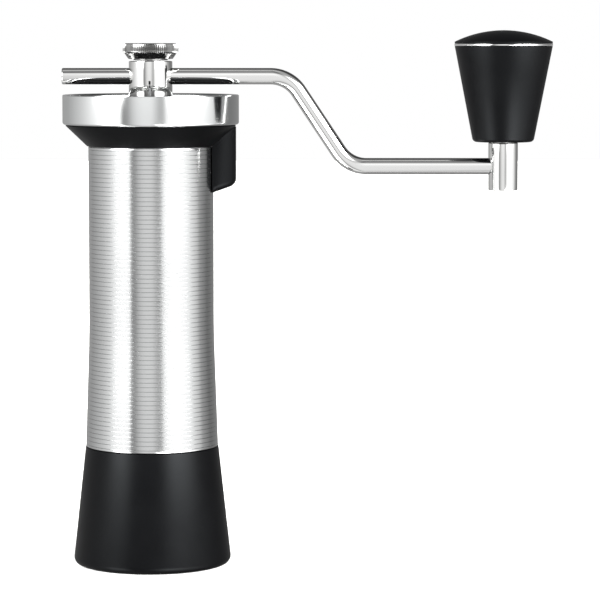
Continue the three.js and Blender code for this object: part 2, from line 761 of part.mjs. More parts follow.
function adjusterGroup() {
  const raceBore = shaftHole + BEARING_RACE + GAP;
  const race = ringShape(raceBore, bearingRadius, bearingFoot, bearingTop, ROUND.medium);
  const snapRing = ringShape(carrierRadius + GAP, dialBore - GAP, snapRingFoot, snapRingTop, ROUND.medium);
  return assembly(
    piece("bearing_carrier", bearingCarrier(), FINISH.machined),
    piece("bearing_outer_ring", race, FINISH.polished),
    piece("adjusting_dial", adjustingDial(), FINISH.machined),
    piece("dial_snap_ring", snapRing, FINISH.machined),
    piece("backlash_spring", backlashSpring(), FINISH.polished),
  );
}

// ---------------------------------------------------------------- lid

function hopperLid() {
  const top = ringTop - LID_RECESS;
  const foot = top - LID_THICKNESS;
  const hole = HUB_RADIUS + GAP;
  return turned(
    [
      [hole, foot],
      [linerBore - GAP - LID_SKIRT_WALL, foot],
      [linerBore - GAP - LID_SKIRT_WALL, foot - LID_SKIRT_HEIGHT],
      [linerBore - GAP, foot - LID_SKIRT_HEIGHT],
      [linerBore - GAP, foot],
      [linerRadius, foot],
      [linerRadius, top],
      [hole, top],
    ],
    ROUND.fine,
  );
}

// ---------------------------------------------------------------- crank hub and clamp screw

const hubRingHeight = ringTop - LID_RECESS - LID_THICKNESS - GAP - HUB_RING_WIRE;
const hubGroove = HUB_RADIUS - HUB_RING_WIRE;
const clampPadFoot = rodHeight + ROD_RADIUS + GAP;
const clampPadTop = clampPadFoot + CLAMP_PAD_HEIGHT;

function crankHub() {
  const blank = turned(
    [
      [0, hubFoot],
      [HUB_RADIUS, hubFoot],
      [HUB_RADIUS, hubRingHeight - HUB_RING_WIRE - GAP],
      [hubGroove - GAP, hubRingHeight - HUB_RING_WIRE - GAP],
      [hubGroove - GAP, hubRingHeight + HUB_RING_WIRE + GAP / 3],
      [HUB_RADIUS, hubRingHeight + HUB_RING_WIRE + GAP / 3],
      [HUB_RADIUS, hubTop - GAP],
      [HUB_RADIUS - GAP, hubTop],
      [0, hubTop],
    ],
    ROUND.medium,
  );
  const half = HUB_SLIT_WIDTH / 2;
  const slit = block(
    [-half, -2 * HUB_RADIUS, hubFoot - OVERCUT],
    [half, 2 * HUB_RADIUS, rodHeight - HUB_SLIT_BELOW_ROD],
  );
  const socket = rod(SHAFT_RADIUS + HUB_SOCKET_PLAY, hubFoot - OVERCUT, shaftTop + GAP, 6);
  const screwHole = rod(CLAMP_SCREW_RADIUS + GAP, rodHeight, hubTop + OVERCUT, ROUND.coarse);
  const cross = crossRod(ROD_RADIUS + GAP, -2 * HUB_RADIUS, 2 * HUB_RADIUS, rodHeight, ROUND.coarse);
  return cut(blank, slit, socket, screwHole, cross);
}

function hubRing() {
  const wire = HUB_RING_WIRE;
  return new THREE.TorusGeometry(hubGroove + wire, wire, 6, ROUND.medium).translate(0, 0, hubRingHeight);
}

function clampScrew() {
  const neckTop = hubTop + GAP + SCREW_NECK_HEIGHT;
  const bandFoot = neckTop + SCREW_CAP_CHAMFER_HEIGHT;
  const capTop = bandFoot + SCREW_CAP_KNURL_HEIGHT;
  const socketFloor = capTop - SCREW_CAP_SOCKET_DEPTH;
  return turned(
    [
      [0, clampPadTop + GAP],
      [CLAMP_SCREW_RADIUS, clampPadTop + GAP],
      [CLAMP_SCREW_RADIUS, hubTop + GAP],
      [SCREW_NECK_RADIUS, hubTop + GAP],
      [SCREW_NECK_RADIUS, neckTop],
      [SCREW_CAP_FOOT_RADIUS, neckTop],
      [SCREW_CAP_RADIUS - SCREW_CAP_BARREL, bandFoot],
      [SCREW_CAP_RADIUS, bandFoot + SCREW_CAP_BARREL],
      [SCREW_CAP_RADIUS, capTop - SCREW_CAP_EDGE],
      [SCREW_CAP_RADIUS - SCREW_CAP_EDGE, capTop],
      [SCREW_CAP_SOCKET_RADIUS, capTop],
      [SCREW_CAP_SOCKET_RADIUS, socketFloor],
      [0, socketFloor],
    ],
    ROUND.medium,
  );
}

function hubGroup() {
  const pad = rod(CLAMP_SCREW_RADIUS - GAP, clampPadFoot, clampPadTop, ROUND.coarse);
  return assembly(
    piece("crank_hub", crankHub(), FINISH.polished),
    piece("hub_o_ring", hubRing(), FINISH.rubber),
    piece("clamp_pad", pad, FINISH.brass),
    piece("clamp_screw", clampScrew(), FINISH.polished),
  );
}

// ---------------------------------------------------------------- crank rod

// A bar in the XZ plane, with one step along each straight run and several round each bend.
class BentBar extends THREE.Curve {
  constructor(runs) {
    super();
    this.spans = runs.flatMap((run) => {
      const count = run.isLineCurve ? 1 : BEND_STEPS;
      return Array.from({ length: count }, (_, i) => ({ run, from: i / count, share: 1 / count }));
    });
  }
  getUtoTmapping(u) {
    return u;
  }
  getPoint(t, target = new THREE.Vector3()) {
    const place = t * this.spans.length;
    const index = Math.min(Math.floor(place), this.spans.length - 1);
    const { run, from, share } = this.spans[index];
    const { x, y } = run.getPoint(from + share * (place - index));
    return target.set(x, 0, y);
  }
}

function rodCurve() {
  const radius = CRANK_BEND_RADIUS;
  const setback = radius * Math.tan(CRANK_SLOPE / 2);
  const firstBend = CRANK_FIRST_CORNER - setback;
  const secondBend = CRANK_FIRST_CORNER + CRANK_DROP / Math.tan(CRANK_SLOPE) + setback;
  const quarter = Math.PI / 2;
  const down = new THREE.EllipseCurve(firstBend, rodHeight - radius, radius, radius,
    quarter, quarter - CRANK_SLOPE, true);
  const level = new THREE.EllipseCurve(secondBend, knobRodHeight + radius, radius, radius,
    -quarter - CRANK_SLOPE, -quarter, false);
  const start = new THREE.Vector2(-ROD_STUB, rodHeight);
  const end = new THREE.Vector2(CRANK_RADIUS - SPINDLE_RADIUS / 3, knobRodHeight);
  return new BentBar([
    new THREE.LineCurve(start, down.getPoint(0)),
    down,
    new THREE.LineCurve(down.getPoint(1), level.getPoint(0)),
    level,
    new THREE.LineCurve(level.getPoint(1), end),
  ]);
}

function crankRod() {
  const section = new THREE.Shape().absarc(0, 0, ROD_RADIUS, 0, 2 * Math.PI);
  const curve = rodCurve();
  const settings = { steps: curve.spans.length, extrudePath: curve, curveSegments: 6 };
  return new THREE.ExtrudeGeometry(section, settings);
}

// ---------------------------------------------------------------- knob, modelled about its own axis

const spindleFoot = knobRodHeight - SPINDLE_BELOW_ROD;
const spindleShoulder = knobRodHeight + SPINDLE_ABOVE_ROD;
const spindleTop = spindleShoulder + SPINDLE_NECK_LENGTH;
const spindleScrewShank = SPINDLE_NECK_RADIUS / 2.2;
const spindleScrewDepth = 10;
const knobFoot = spindleShoulder + GAP;
const knobTop = knobFoot + KNOB_HEIGHT;
const knobBushBore = SPINDLE_NECK_RADIUS + GAP;
const knobBore = knobBushBore + KNOB_BUSH_WALL + GAP;
const washerFoot = spindleTop + GAP;
const pocketFloor = washerFoot - GAP;

function knobSpindle() {
  const edge = GAP;
  const screwHole = spindleScrewShank + GAP;
  const post = turned(
    [
      [0, spindleFoot],
      [SPINDLE_RADIUS - edge, spindleFoot],
      [SPINDLE_RADIUS, spindleFoot + edge],
      [SPINDLE_RADIUS, spindleShoulder],
      [SPINDLE_NECK_RADIUS, spindleShoulder],
      [SPINDLE_NECK_RADIUS, spindleTop],
      [screwHole, spindleTop],
      [screwHole, spindleTop - spindleScrewDepth - GAP],
      [0, spindleTop - spindleScrewDepth - GAP],
    ],
    ROUND.coarse,
  );
  const socketEnd = GAP - SPINDLE_RADIUS / 3;
  const socket = crossRod(ROD_RADIUS + GAP, -2 * SPINDLE_RADIUS, socketEnd, knobRodHeight, ROUND.coarse);
  return cut(post, socket);
}

function spindleScrew() {
  const headFoot = washerFoot + WASHER_HEIGHT + GAP;
  const headTop = headFoot + SPINDLE_SCREW_HEAD_HEIGHT;
  const headRadius = SPINDLE_NECK_RADIUS;
  return turned(
    [
      [0, spindleTop - spindleScrewDepth],
      [spindleScrewShank, spindleTop - spindleScrewDepth],
      [spindleScrewShank, headFoot],
      [headRadius, headFoot],
      [headRadius, headFoot + SPINDLE_SCREW_HEAD_EDGE],
      [headRadius - SPINDLE_SCREW_HEAD_CHAMFER, headTop],
      [0, headTop],
    ],
    ROUND.coarse,
  );
}

const pocketRadius = WASHER_RADIUS + GAP + 1;
const capPlugRadius = pocketRadius - GAP;

function knobGrip() {
  const fillet = KNOB_FOOT_FILLET;
  const slope = THREE.MathUtils.radToDeg(Math.atan((KNOB_TOP_RADIUS - KNOB_FOOT_RADIUS) / KNOB_HEIGHT));
  return turned(
    [
      [knobBore, knobFoot],
      ...arc(KNOB_FOOT_RADIUS - fillet / 2, knobFoot + fillet, fillet, -90, -slope, 3),
      [KNOB_TOP_RADIUS, knobTop],
      [pocketRadius, knobTop],
      [pocketRadius, pocketFloor],
      [knobBore, pocketFloor],
    ],
    ROUND.fine,
  );
}

// A shallow dome with a rounded rim, on a plug that centres it in the pocket.
function knobCap() {
  const foot = knobTop + KNOB_RING_HEIGHT + 2 * GAP / 3;
  const rise = KNOB_CAP_HEIGHT - KNOB_CAP_EDGE;
  const domeRadius = (KNOB_TOP_RADIUS ** 2 + rise ** 2) / (2 * rise);
  const steps = 5;
  const dome = Array.from({ length: steps + 1 }, (_, i) => {
    const r = KNOB_TOP_RADIUS * (1 - i / steps);
    return [r, foot + KNOB_CAP_HEIGHT - domeRadius + Math.sqrt(domeRadius ** 2 - r ** 2)];
  });
  return turned(
    [
      [0, knobTop - KNOB_POCKET_WALL],
      [capPlugRadius, knobTop - KNOB_POCKET_WALL],
      [capPlugRadius, foot],
      [KNOB_TOP_RADIUS - GAP, foot],
      ...dome,
    ],
    ROUND.fine,
  );
}

function knobGroup() {
  const ringFootHeight = knobTop + GAP / 3;
  const trimRing = ringShape(pocketRadius, KNOB_TOP_RADIUS + GAP / 3, ringFootHeight,
    ringFootHeight + KNOB_RING_HEIGHT, ROUND.fine);
  const washer = ringShape(spindleScrewShank + GAP, WASHER_RADIUS, washerFoot, washerFoot + WASHER_HEIGHT,
    ROUND.coarse);
  const bush = (foot) => ringShape(knobBushBore, knobBore - GAP, foot, foot + KNOB_BUSH_HEIGHT, ROUND.coarse);
  const group = assembly(
    piece("knob_spindle", knobSpindle(), FINISH.polished),
    piece("spindle_washer", washer, FINISH.machined),
    piece("spindle_screw", spindleScrew(), FINISH.machined),
    piece("knob_bush_lower", bush(knobFoot + GAP), FINISH.polymer),
    piece("knob_bush_upper", bush(pocketFloor - KNOB_BUSH_HEIGHT - GAP), FINISH.polymer),
    piece("knob_grip", knobGrip(), FINISH.black),
    piece("knob_trim_ring", trimRing, FINISH.polished),
    piece("knob_cap", knobCap(), FINISH.black),
  );
  group.position.x = CRANK_RADIUS;
  return group;
}

// ---------------------------------------------------------------- the whole grinder

function housingGroup() {
  const bush = ringShape(shaftHole, bushRadius, lowerBracketFoot + GAP,
    lowerBracketFoot + LOWER_BRACKET_HEIGHT - GAP, ROUND.coarse);
  return assembly(
    piece("outer_sleeve", outerSleeve(), FINISH.ribbed),
    piece("chassis_tube", chassisTube(), FINISH.machined),
    piece("hopper_collar", hopperCollar(), FINISH.black),
    piece("hopper_ring", hopperRing(), FINISH.polished),
    piece("lower_bracket", lowerBracket(), FINISH.machined),
    piece("lower_bush", bush, FINISH.polymer),
    piece("upper_bracket", upperBracket(), FINISH.machined),
    ...bracketScrews(),
  );
}

const grinder = assembly(
  catchCup(),
  housingGroup(),
  burrGroup(),
  shaftGroup(),
  adjusterGroup(),
  piece("hopper_lid", hopperLid(), FINISH.black),
  hubGroup(),
  piece("crank_rod", crankRod(), FINISH.polished),
  knobGroup(),
);

export default grinder;
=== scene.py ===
"""Hand crank coffee grinder: the fine visual model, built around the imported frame.

Every sub-assembly is a class. Sizes are in millimetres until a piece is finished, and the frame's
nodes give the heights and radii that pieces share with it.
"""
import sys
import logging
import math
from dataclasses import dataclass
from enum import Enum
from typing import Iterable, Mapping, Sequence

import bmesh
import bpy
from mathutils import Matrix, Vector


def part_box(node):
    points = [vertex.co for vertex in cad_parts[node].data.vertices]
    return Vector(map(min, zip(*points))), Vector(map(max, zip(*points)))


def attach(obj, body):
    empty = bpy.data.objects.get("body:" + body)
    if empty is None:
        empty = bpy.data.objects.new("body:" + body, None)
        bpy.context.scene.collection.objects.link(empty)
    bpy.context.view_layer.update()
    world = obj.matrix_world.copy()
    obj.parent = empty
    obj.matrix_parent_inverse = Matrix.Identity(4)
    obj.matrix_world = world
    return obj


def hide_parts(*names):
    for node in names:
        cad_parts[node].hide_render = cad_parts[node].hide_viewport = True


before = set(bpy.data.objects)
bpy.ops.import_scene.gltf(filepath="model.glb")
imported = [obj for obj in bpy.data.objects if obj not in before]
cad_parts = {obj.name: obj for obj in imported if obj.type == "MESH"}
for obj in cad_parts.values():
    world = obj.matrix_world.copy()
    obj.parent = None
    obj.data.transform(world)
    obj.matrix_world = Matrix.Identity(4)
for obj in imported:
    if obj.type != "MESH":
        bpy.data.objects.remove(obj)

MM = 0.001
GAP = 0.3  # clearance between neighbouring pieces
CRANK_RADIUS = 142.0  # from the shaft's axis to the knob's axis
WELD = 1e-4  # points closer than this are one point
SHARP = math.radians(32)  # edges that turn by more than this stay crisp
FULL_TURN = 2 * math.pi
OVER = 1.0  # how far a cutting tool reaches past the face that it opens

log = logging.getLogger("grinder")


class Sides(Enum):
    """How many sides a round piece has, by how closely it is seen."""

    SHOWN = 160
    INNER = 96
    SMALL = 48
    HEXAGON = 6


class Body(Enum):
    """The moving bodies of the frame."""

    CUP = "cup"
    HOUSING = "housing"
    CARRIER = "carrier"
    DIAL = "dial"
    SHAFT = "shaft"
    LID = "lid"
    CRANK = "crank"
    ARM = "arm"
    PAD = "pad"
    CLAMP = "clamp"
    KNOB = "knob"


class Carving(Enum):
    """What a tool does to the solid that it meets."""

    CUT = "DIFFERENCE"
    JOIN = "UNION"


# ---------------------------------------------------------------- where the frame's nodes lie


@dataclass(frozen=True)
class Extent:
    """Where a round node lies, in millimetres."""

    foot: float
    top: float
    radius: float


def extent(node: str) -> Extent:
    """Measures the foot, the top and the radius of a round node of the frame."""
    low, high = (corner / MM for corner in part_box(node))
    return Extent(low.z, high.z, (high.y - low.y) / 2)


# ---------------------------------------------------------------- mesh making


@dataclass(frozen=True)
class Corner:
    """A corner of a turned piece's half section, and the fillet that rounds it."""

    r: float
    z: float
    fillet: float = 0.0

    @property
    def steps(self) -> int:
        """How many facets round the corner, by the size of its fillet."""
        return 2 if self.fillet < 0.25 else 4 if self.fillet < 1 else 8


def turned(corners: Iterable[Corner], sides: Sides) -> bmesh.types.BMesh:
    """Turns a half section about Z.

    Args:
        corners: The section's corners in order. Where the first lies off the axis, the section closes on
            itself.
        sides: How many sides the piece has.

    Returns:
        A closed mesh, in millimetres.
    """
    corners = list(corners)
    shape = bmesh.new()
    verts = [shape.verts.new((corner.r, 0, corner.z)) for corner in corners]
    ends = verts[1:] + (verts[:1] if corners[0].r > WELD else [])
    for start, end in zip(verts, ends):
        shape.edges.new((start, end))
    for vert, corner in zip(verts, corners):
        if corner.fillet > 0:
            bmesh.ops.bevel(shape, geom=[vert], offset=corner.fillet, offset_type="OFFSET",
                            segments=corner.steps, profile=0.5, affect="VERTICES", material=-1)
    bmesh.ops.spin(shape, geom=shape.verts[:] + shape.edges[:], cent=(0, 0, 0), axis=(0, 0, 1),
                   angle=FULL_TURN, steps=sides.value, use_merge=True)
    bmesh.ops.remove_doubles(shape, verts=shape.verts, dist=WELD)
    return shape


def hoop(inner: float, outer: float, foot: float, top: float, fillet: float,
         sides: Sides) -> bmesh.types.BMesh:
    """A plain closed ring between two radii and two heights, with a fillet along every edge."""
    return turned([Corner(inner, foot, fillet), Corner(outer, foot, fillet), Corner(outer, top, fillet),
                   Corner(inner, top, fillet)], sides)


def post(radius: float, foot: float, top: float, fillet: float, sides: Sides) -> bmesh.types.BMesh:
    """A plain closed bar on Z between two heights, with a fillet along both ends."""
    return turned([Corner(0, foot), Corner(radius, foot, fillet), Corner(radius, top, fillet),
                   Corner(0, top)], sides)


def thread(radius: float, foot: float, top: float, pitch: float) -> list[Corner]:
    """The zigzag flank of a screw thread, drawn as rings.

    Args:
        radius: The thread's outer radius.
        foot: Height where it starts.
        top: Height where it ends.
        pitch: Distance from ridge to ridge.

    Returns:
        The flank's corners, from the foot up.
    """
    count = max(1, int((top - foot) / pitch))
    step = (top - foot) / count
    depth = 0.45 * step
    flank = []
    for i in range(count):
        flank += [Corner(radius - depth, foot + i * step), Corner(radius, foot + (i + 0.5) * step)]
    return flank + [Corner(radius - depth, top)]


def wire_section(wire: float, reach: float, z: float, segments: int) -> bmesh.types.BMesh:
    """Stands a wire's round section next to Z, ready to be wound around it.

    Args:
        wire: The wire's radius.
        reach: How far its middle lies from Z.
        z: The height of its middle.
        segments: How many sides the wire has.

    Returns:
        A mesh with the section's edges.
    """
    shape = bmesh.new()
    made = bmesh.ops.create_circle(shape, cap_ends=False, segments=segments, radius=wire)
    stand = Matrix.Translation((reach, 0, z)) @ Matrix.Rotation(math.pi / 2, 4, "X")
    bmesh.ops.transform(shape, matrix=stand, verts=made["verts"])
    return shape


@dataclass(frozen=True)
class Station:
    """One height of a fluted bar: the radii of its valleys and ridges, and how far it has turned."""

    z: float
    valley: float
    ridge: float
    turn: float = 0.0


def fluted(ridges: int, stations: Sequence[Station]) -> bmesh.types.BMesh:
    """A closed bar with ridges along it, which may taper and twist.

    Args:
        ridges: How many ridges stand around it.
        stations: Its heights in order.

    Returns:
        A closed mesh.
    """
    shape = bmesh.new()
    first = stations[0]
    made = bmesh.ops.create_circle(shape, cap_ends=True, segments=2 * ridges, radius=first.valley)
    verts = made["verts"]
    lift = Matrix.Translation((0, 0, first.z)) @ Matrix.Rotation(first.turn, 4, "Z")
    bmesh.ops.scale(shape, vec=(first.ridge / first.valley,) * 2 + (1,), verts=verts[::2])
    bmesh.ops.transform(shape, matrix=lift, verts=verts)
    loop = shape.edges[:]
    for below, here in zip(stations, stations[1:]):
        grown = bmesh.ops.extrude_edge_only(shape, edges=loop)["geom"]
        loop = [part for part in grown if isinstance(part, bmesh.types.BMEdge)]
        verts = [part for part in grown if isinstance(part, bmesh.types.BMVert)]
        border = (below.valley + below.ridge) / 2
        outer = [vert for vert in verts if vert.co.xy.length > border]
        inner = [vert for vert in verts if vert.co.xy.length <= border]
        bmesh.ops.scale(shape, vec=(here.ridge / below.ridge,) * 2 + (1,), verts=outer)
        bmesh.ops.scale(shape, vec=(here.valley / below.valley,) * 2 + (1,), verts=inner)
        bmesh.ops.rotate(shape, cent=(0, 0, 0), matrix=Matrix.Rotation(here.turn - below.turn, 3, "Z"),
                         verts=verts)
        bmesh.ops.translate(shape, vec=(0, 0, here.z - below.z), verts=verts)
    bmesh.ops.contextual_create(shape, geom=loop)
    return shape


def slab(low: Sequence[float], high: Sequence[float], fillet: float = 0.0) -> bmesh.types.BMesh:
    """A block between two corners with rounded edges.

    Args:
        low: Its lowest corner.
        high: Its highest corner.
        fillet: Size of the rounding along every edge.

    Returns:
        A closed mesh.
    """
    shape = bmesh.new()
    bmesh.ops.create_cube(shape, size=1)
    size = [b - a for a, b in zip(low, high)]
    bmesh.ops.scale(shape, vec=size, verts=shape.verts)
    bmesh.ops.translate(shape, vec=[(a + b) / 2 for a, b in zip(low, high)], verts=shape.verts)
    if fillet > 0:
        bmesh.ops.bevel(shape, geom=shape.edges[:], offset=fillet, offset_type="OFFSET", segments=3,
                        profile=0.5,
                        affect="EDGES", material=-1)
    return shape


def lay_along_x(shape: bmesh.types.BMesh, z: float, turn: float = 0.0) -> bmesh.types.BMesh:
    """Lays a piece that stands on Z along X at a height, then turns it about Z.

    Args:
        shape: The piece.
        z: The height of its axis.
        turn: How far it turns about Z, in radians.

    Returns:
        The same piece.
    """
    place = Matrix.Rotation(turn, 4, "Z") @ Matrix.Translation((0, 0, z)) @ Matrix.Rotation(math.pi / 2, 4,
                                                                                            "Y")
    bmesh.ops.transform(shape, matrix=place, verts=shape.verts)
    return shape


def smooth(mesh: bpy.types.Mesh) -> None:
    """Shades a mesh smoothly and keeps its corners crisp."""
    mesh.shade_smooth()
    mesh.set_sharp_from_angle(angle=SHARP)


def finished(shape: bmesh.types.BMesh, name: str, x: float = 0.0) -> bpy.types.Object:
    """Makes an object of a mesh in millimetres, with its place in its mesh and its faces outwards.

    Args:
        shape: The mesh, which is used up.
        name: The object's name.
        x: Where the mesh's axis goes along X, in millimetres.

    Returns:
        The object, in metres.
    """
    bmesh.ops.translate(shape, vec=(x, 0, 0), verts=shape.verts)
    bmesh.ops.scale(shape, vec=(MM, MM, MM), verts=shape.verts)
    bmesh.ops.recalc_face_normals(shape, faces=shape.faces)
    mesh = bpy.data.meshes.new(name)
    shape.to_mesh(mesh)
    shape.free()
    smooth(mesh)
    piece = bpy.data.objects.new(name, mesh)
    bpy.context.collection.objects.link(piece)
    return piece


def carved(piece: bpy.types.Object, how: Carving, tools: Iterable[bpy.types.Object]) -> bpy.types.Object:
    """Cuts tools out of a piece, or joins them to it.

    Args:
        piece: The piece to change.
        how: What each tool does to it.
        tools: The tools, which are used up.

    Returns:
        The same piece.
    """
    for tool in tools:
        modifier = piece.modifiers.new("carving", "BOOLEAN")
        modifier.operation = how.value
        modifier.solver = "EXACT"
        modifier.object = tool
        bpy.context.view_layer.update()
        graph = bpy.context.evaluated_depsgraph_get()
        mesh = bpy.data.meshes.new_from_object(piece.evaluated_get(graph))
        piece.modifiers.clear()
        before = piece.data
        piece.data = mesh
        bpy.data.meshes.remove(before)
        bpy.data.objects.remove(tool)
    smooth(piece.data)
    piece.data.name = piece.name
    return piece


# ---------------------------------------------------------------- materials


def linear(hexadecimal: str) -> tuple[float, float, float, float]:
    """Turns an sRGB colour to the linear values that a shader takes.

    Args:
        hexadecimal: Six digits, such as "C8C8C4".

    Returns:
        Linear red, green, blue, and an alpha of 1.
    """
    parts = [int(hexadecimal[i:i + 2], 16) / 255 for i in (0, 2, 4)]
    red, green, blue = (p / 12.92 if p <= 0.04045 else ((p + 0.055) / 1.055) ** 2.4 for p in parts)
    return red, green, blue, 1.0


def add_node(tree: bpy.types.NodeTree, kind: str, inputs: Mapping[str | int, object] | None = None,
             **settings: object) -> bpy.types.Node:
    """Adds a shader node with its settings, and sets or links its inputs.

    Args:
        tree: The tree that it joins.
        kind: The node's type.
        inputs: A value or another node's output for each input, by name or place.
        **settings: The node's own properties.

    Returns:
        The node.
    """
    node = tree.nodes.new(kind)
    for name, value in settings.items():
        setattr(node, name, value)
    for name, value in (inputs or {}).items():
        if isinstance(value, bpy.types.NodeSocket):
            tree.links.new(value, node.inputs[name])
        else:
            node.inputs[name].default_value = value
    return node


def sum_of(tree: bpy.types.NodeTree, operation: str, *terms: object) -> bpy.types.NodeSocket:
    """Adds a node that works out one sum of its terms, and gives the result."""
    return add_node(tree, "ShaderNodeMath", dict(enumerate(terms)), operation=operation).outputs["Value"]


def distance_from_z(tree: bpy.types.NodeTree, parts: bpy.types.Node) -> bpy.types.NodeSocket:
    """Adds the distance between Z and a place.

    Args:
        tree: The tree that it joins.
        parts: The node that splits the place into its parts.

    Returns:
        The distance.
    """
    flat = add_node(tree, "ShaderNodeCombineXYZ", {"X": parts.outputs["X"], "Y": parts.outputs["Y"]})
    return add_node(tree, "ShaderNodeVectorMath", {0: flat.outputs["Vector"]},
                    operation="LENGTH").outputs["Value"]


class Grain(Enum):
    """Which way the fine lines of a metal's last machining run."""

    AROUND = "around"
    ALONG_X = "along_x"


@dataclass(frozen=True)
class Finish:
    """A material: its name, the record's slot, its two shades and its gloss."""

    name: str
    slot: str
    shade: str
    second_shade: str
    roughness: float
    roughness_spread: float

    def material(self) -> bpy.types.Material:
        """Makes the material, or finds it where it has been made.

        Returns:
            The material.
        """
        found = bpy.data.materials.get(self.name)
        if found:
            return found
        material = bpy.data.materials.new(self.name)
        material.use_nodes = True
        tree = material.node_tree
        tree.nodes.clear()
        shader = add_node(tree, "ShaderNodeBsdfPrincipled")
        add_node(tree, "ShaderNodeOutputMaterial", {"Surface": shader.outputs["BSDF"]})
        self.dress(tree, shader)
        return material

    def dress(self, tree: bpy.types.NodeTree, shader: bpy.types.Node) -> None:
        """Builds the pattern in front of the shader in a tree. Each kind of finish has its own."""
        raise NotImplementedError

    def mottle(self, tree: bpy.types.NodeTree, shader: bpy.types.Node, place: bpy.types.NodeSocket,
               patch_mm: float) -> None:
        """Varies colour and gloss in soft patches.

        Args:
            tree: The material's tree.
            shader: Its shader.
            place: The coordinates of the pattern.
            patch_mm: The usual size of a patch.
        """
        patches = add_node(tree, "ShaderNodeTexNoise",
                           {"Vector": place, "Scale": 1 / (patch_mm * MM), "Detail": 4.0})
        shades = add_node(tree, "ShaderNodeMix", {0: patches.outputs["Fac"], 6: linear(self.shade),
                                                  7: linear(self.second_shade)}, data_type="RGBA")
        gloss = add_node(tree, "ShaderNodeMapRange", {
            "Value": patches.outputs["Fac"], "From Min": 0.3, "From Max": 0.7,
            "To Min": self.roughness - self.roughness_spread,
            "To Max": self.roughness + self.roughness_spread})
        tree.links.new(shades.outputs[2], shader.inputs["Base Color"])
        tree.links.new(gloss.outputs["Result"], shader.inputs["Roughness"])


@dataclass(frozen=True)
class Moulded(Finish):
    """A moulded surface: the tool's fine even grain softens every highlight."""

    grain_mm: float = 0.35
    grain_height_mm: float = 0.006
    patch_mm: float = 14.0
    specular: float = 0.5
    specular_tint: str = "FFFFFF"

    def dress(self, tree: bpy.types.NodeTree, shader: bpy.types.Node) -> None:
        """Builds the mould's grain.

        Args:
            tree: The material's tree.
            shader: Its shader.
        """
        place = add_node(tree, "ShaderNodeTexCoord").outputs["Object"]
        self.mottle(tree, shader, place, self.patch_mm)
        grain = add_node(tree, "ShaderNodeTexNoise", {"Vector": place, "Scale": 1 / (self.grain_mm * MM),
                                                      "Detail": 2.0})
        bump = add_node(tree, "ShaderNodeBump", {"Height": grain.outputs["Fac"], "Strength": 1.0,
                                                 "Distance": self.grain_height_mm * MM})
        tree.links.new(bump.outputs["Normal"], shader.inputs["Normal"])
        shader.inputs["Specular IOR Level"].default_value = self.specular
        shader.inputs["Specular Tint"].default_value = linear(self.specular_tint)


@dataclass(frozen=True)
class Machined(Finish):
    """A machined metal: fine lines run as the last tool went, and stretch reflections across them."""

    line_mm: float = 0.12
    line_height_mm: float = 0.0008
    anisotropy: float = 0.0
    grain: Grain = Grain.AROUND
    axis_x: float = 0.0
    patch_mm: float = 18.0

    def dress(self, tree: bpy.types.NodeTree, shader: bpy.types.Node) -> None:
        """Builds the tool's lines.

        Args:
            tree: The material's tree.
            shader: Its shader.
        """
        place = add_node(tree, "ShaderNodeTexCoord").outputs["Object"]
        centred = add_node(tree, "ShaderNodeMapping",
                           {"Vector": place, "Location": (-self.axis_x * MM, 0, 0)})
        self.mottle(tree, shader, centred.outputs["Vector"], self.patch_mm)
        lines = add_node(tree, "ShaderNodeTexNoise", {"Vector": self.run(tree, centred.outputs["Vector"]),
                                                      "Scale": 1 / (self.line_mm * MM), "Detail": 3.0})
        bump = add_node(tree, "ShaderNodeBump", {"Height": lines.outputs["Fac"], "Strength": 1.0,
                                                 "Distance": self.line_height_mm * MM})
        tree.links.new(bump.outputs["Normal"], shader.inputs["Normal"])
        shader.inputs["Metallic"].default_value = 1.0
        if self.anisotropy > 0:
            tangent = add_node(tree, "ShaderNodeTangent", direction_type="RADIAL", axis="Z")
            tree.links.new(tangent.outputs["Tangent"], shader.inputs["Tangent"])
            shader.inputs["Anisotropic"].default_value = self.anisotropy
            shader.inputs["Anisotropic Rotation"].default_value = 0.25

    def run(self, tree: bpy.types.NodeTree, place: bpy.types.NodeSocket) -> bpy.types.NodeSocket:
        """Turns places to coordinates that stay the same along a line.

        Args:
            tree: The material's tree.
            place: The place, from the pattern's centre.

        Returns:
            The coordinates for the lines.
        """
        if self.grain is Grain.ALONG_X:
            return add_node(tree, "ShaderNodeMapping",
                            {"Vector": place, "Scale": (0.03, 1, 1)}).outputs["Vector"]
        parts = add_node(tree, "ShaderNodeSeparateXYZ", {"Vector": place})
        return add_node(tree, "ShaderNodeCombineXYZ", {"X": distance_from_z(tree, parts),
                                                       "Z": parts.outputs["Z"]}).outputs["Vector"]


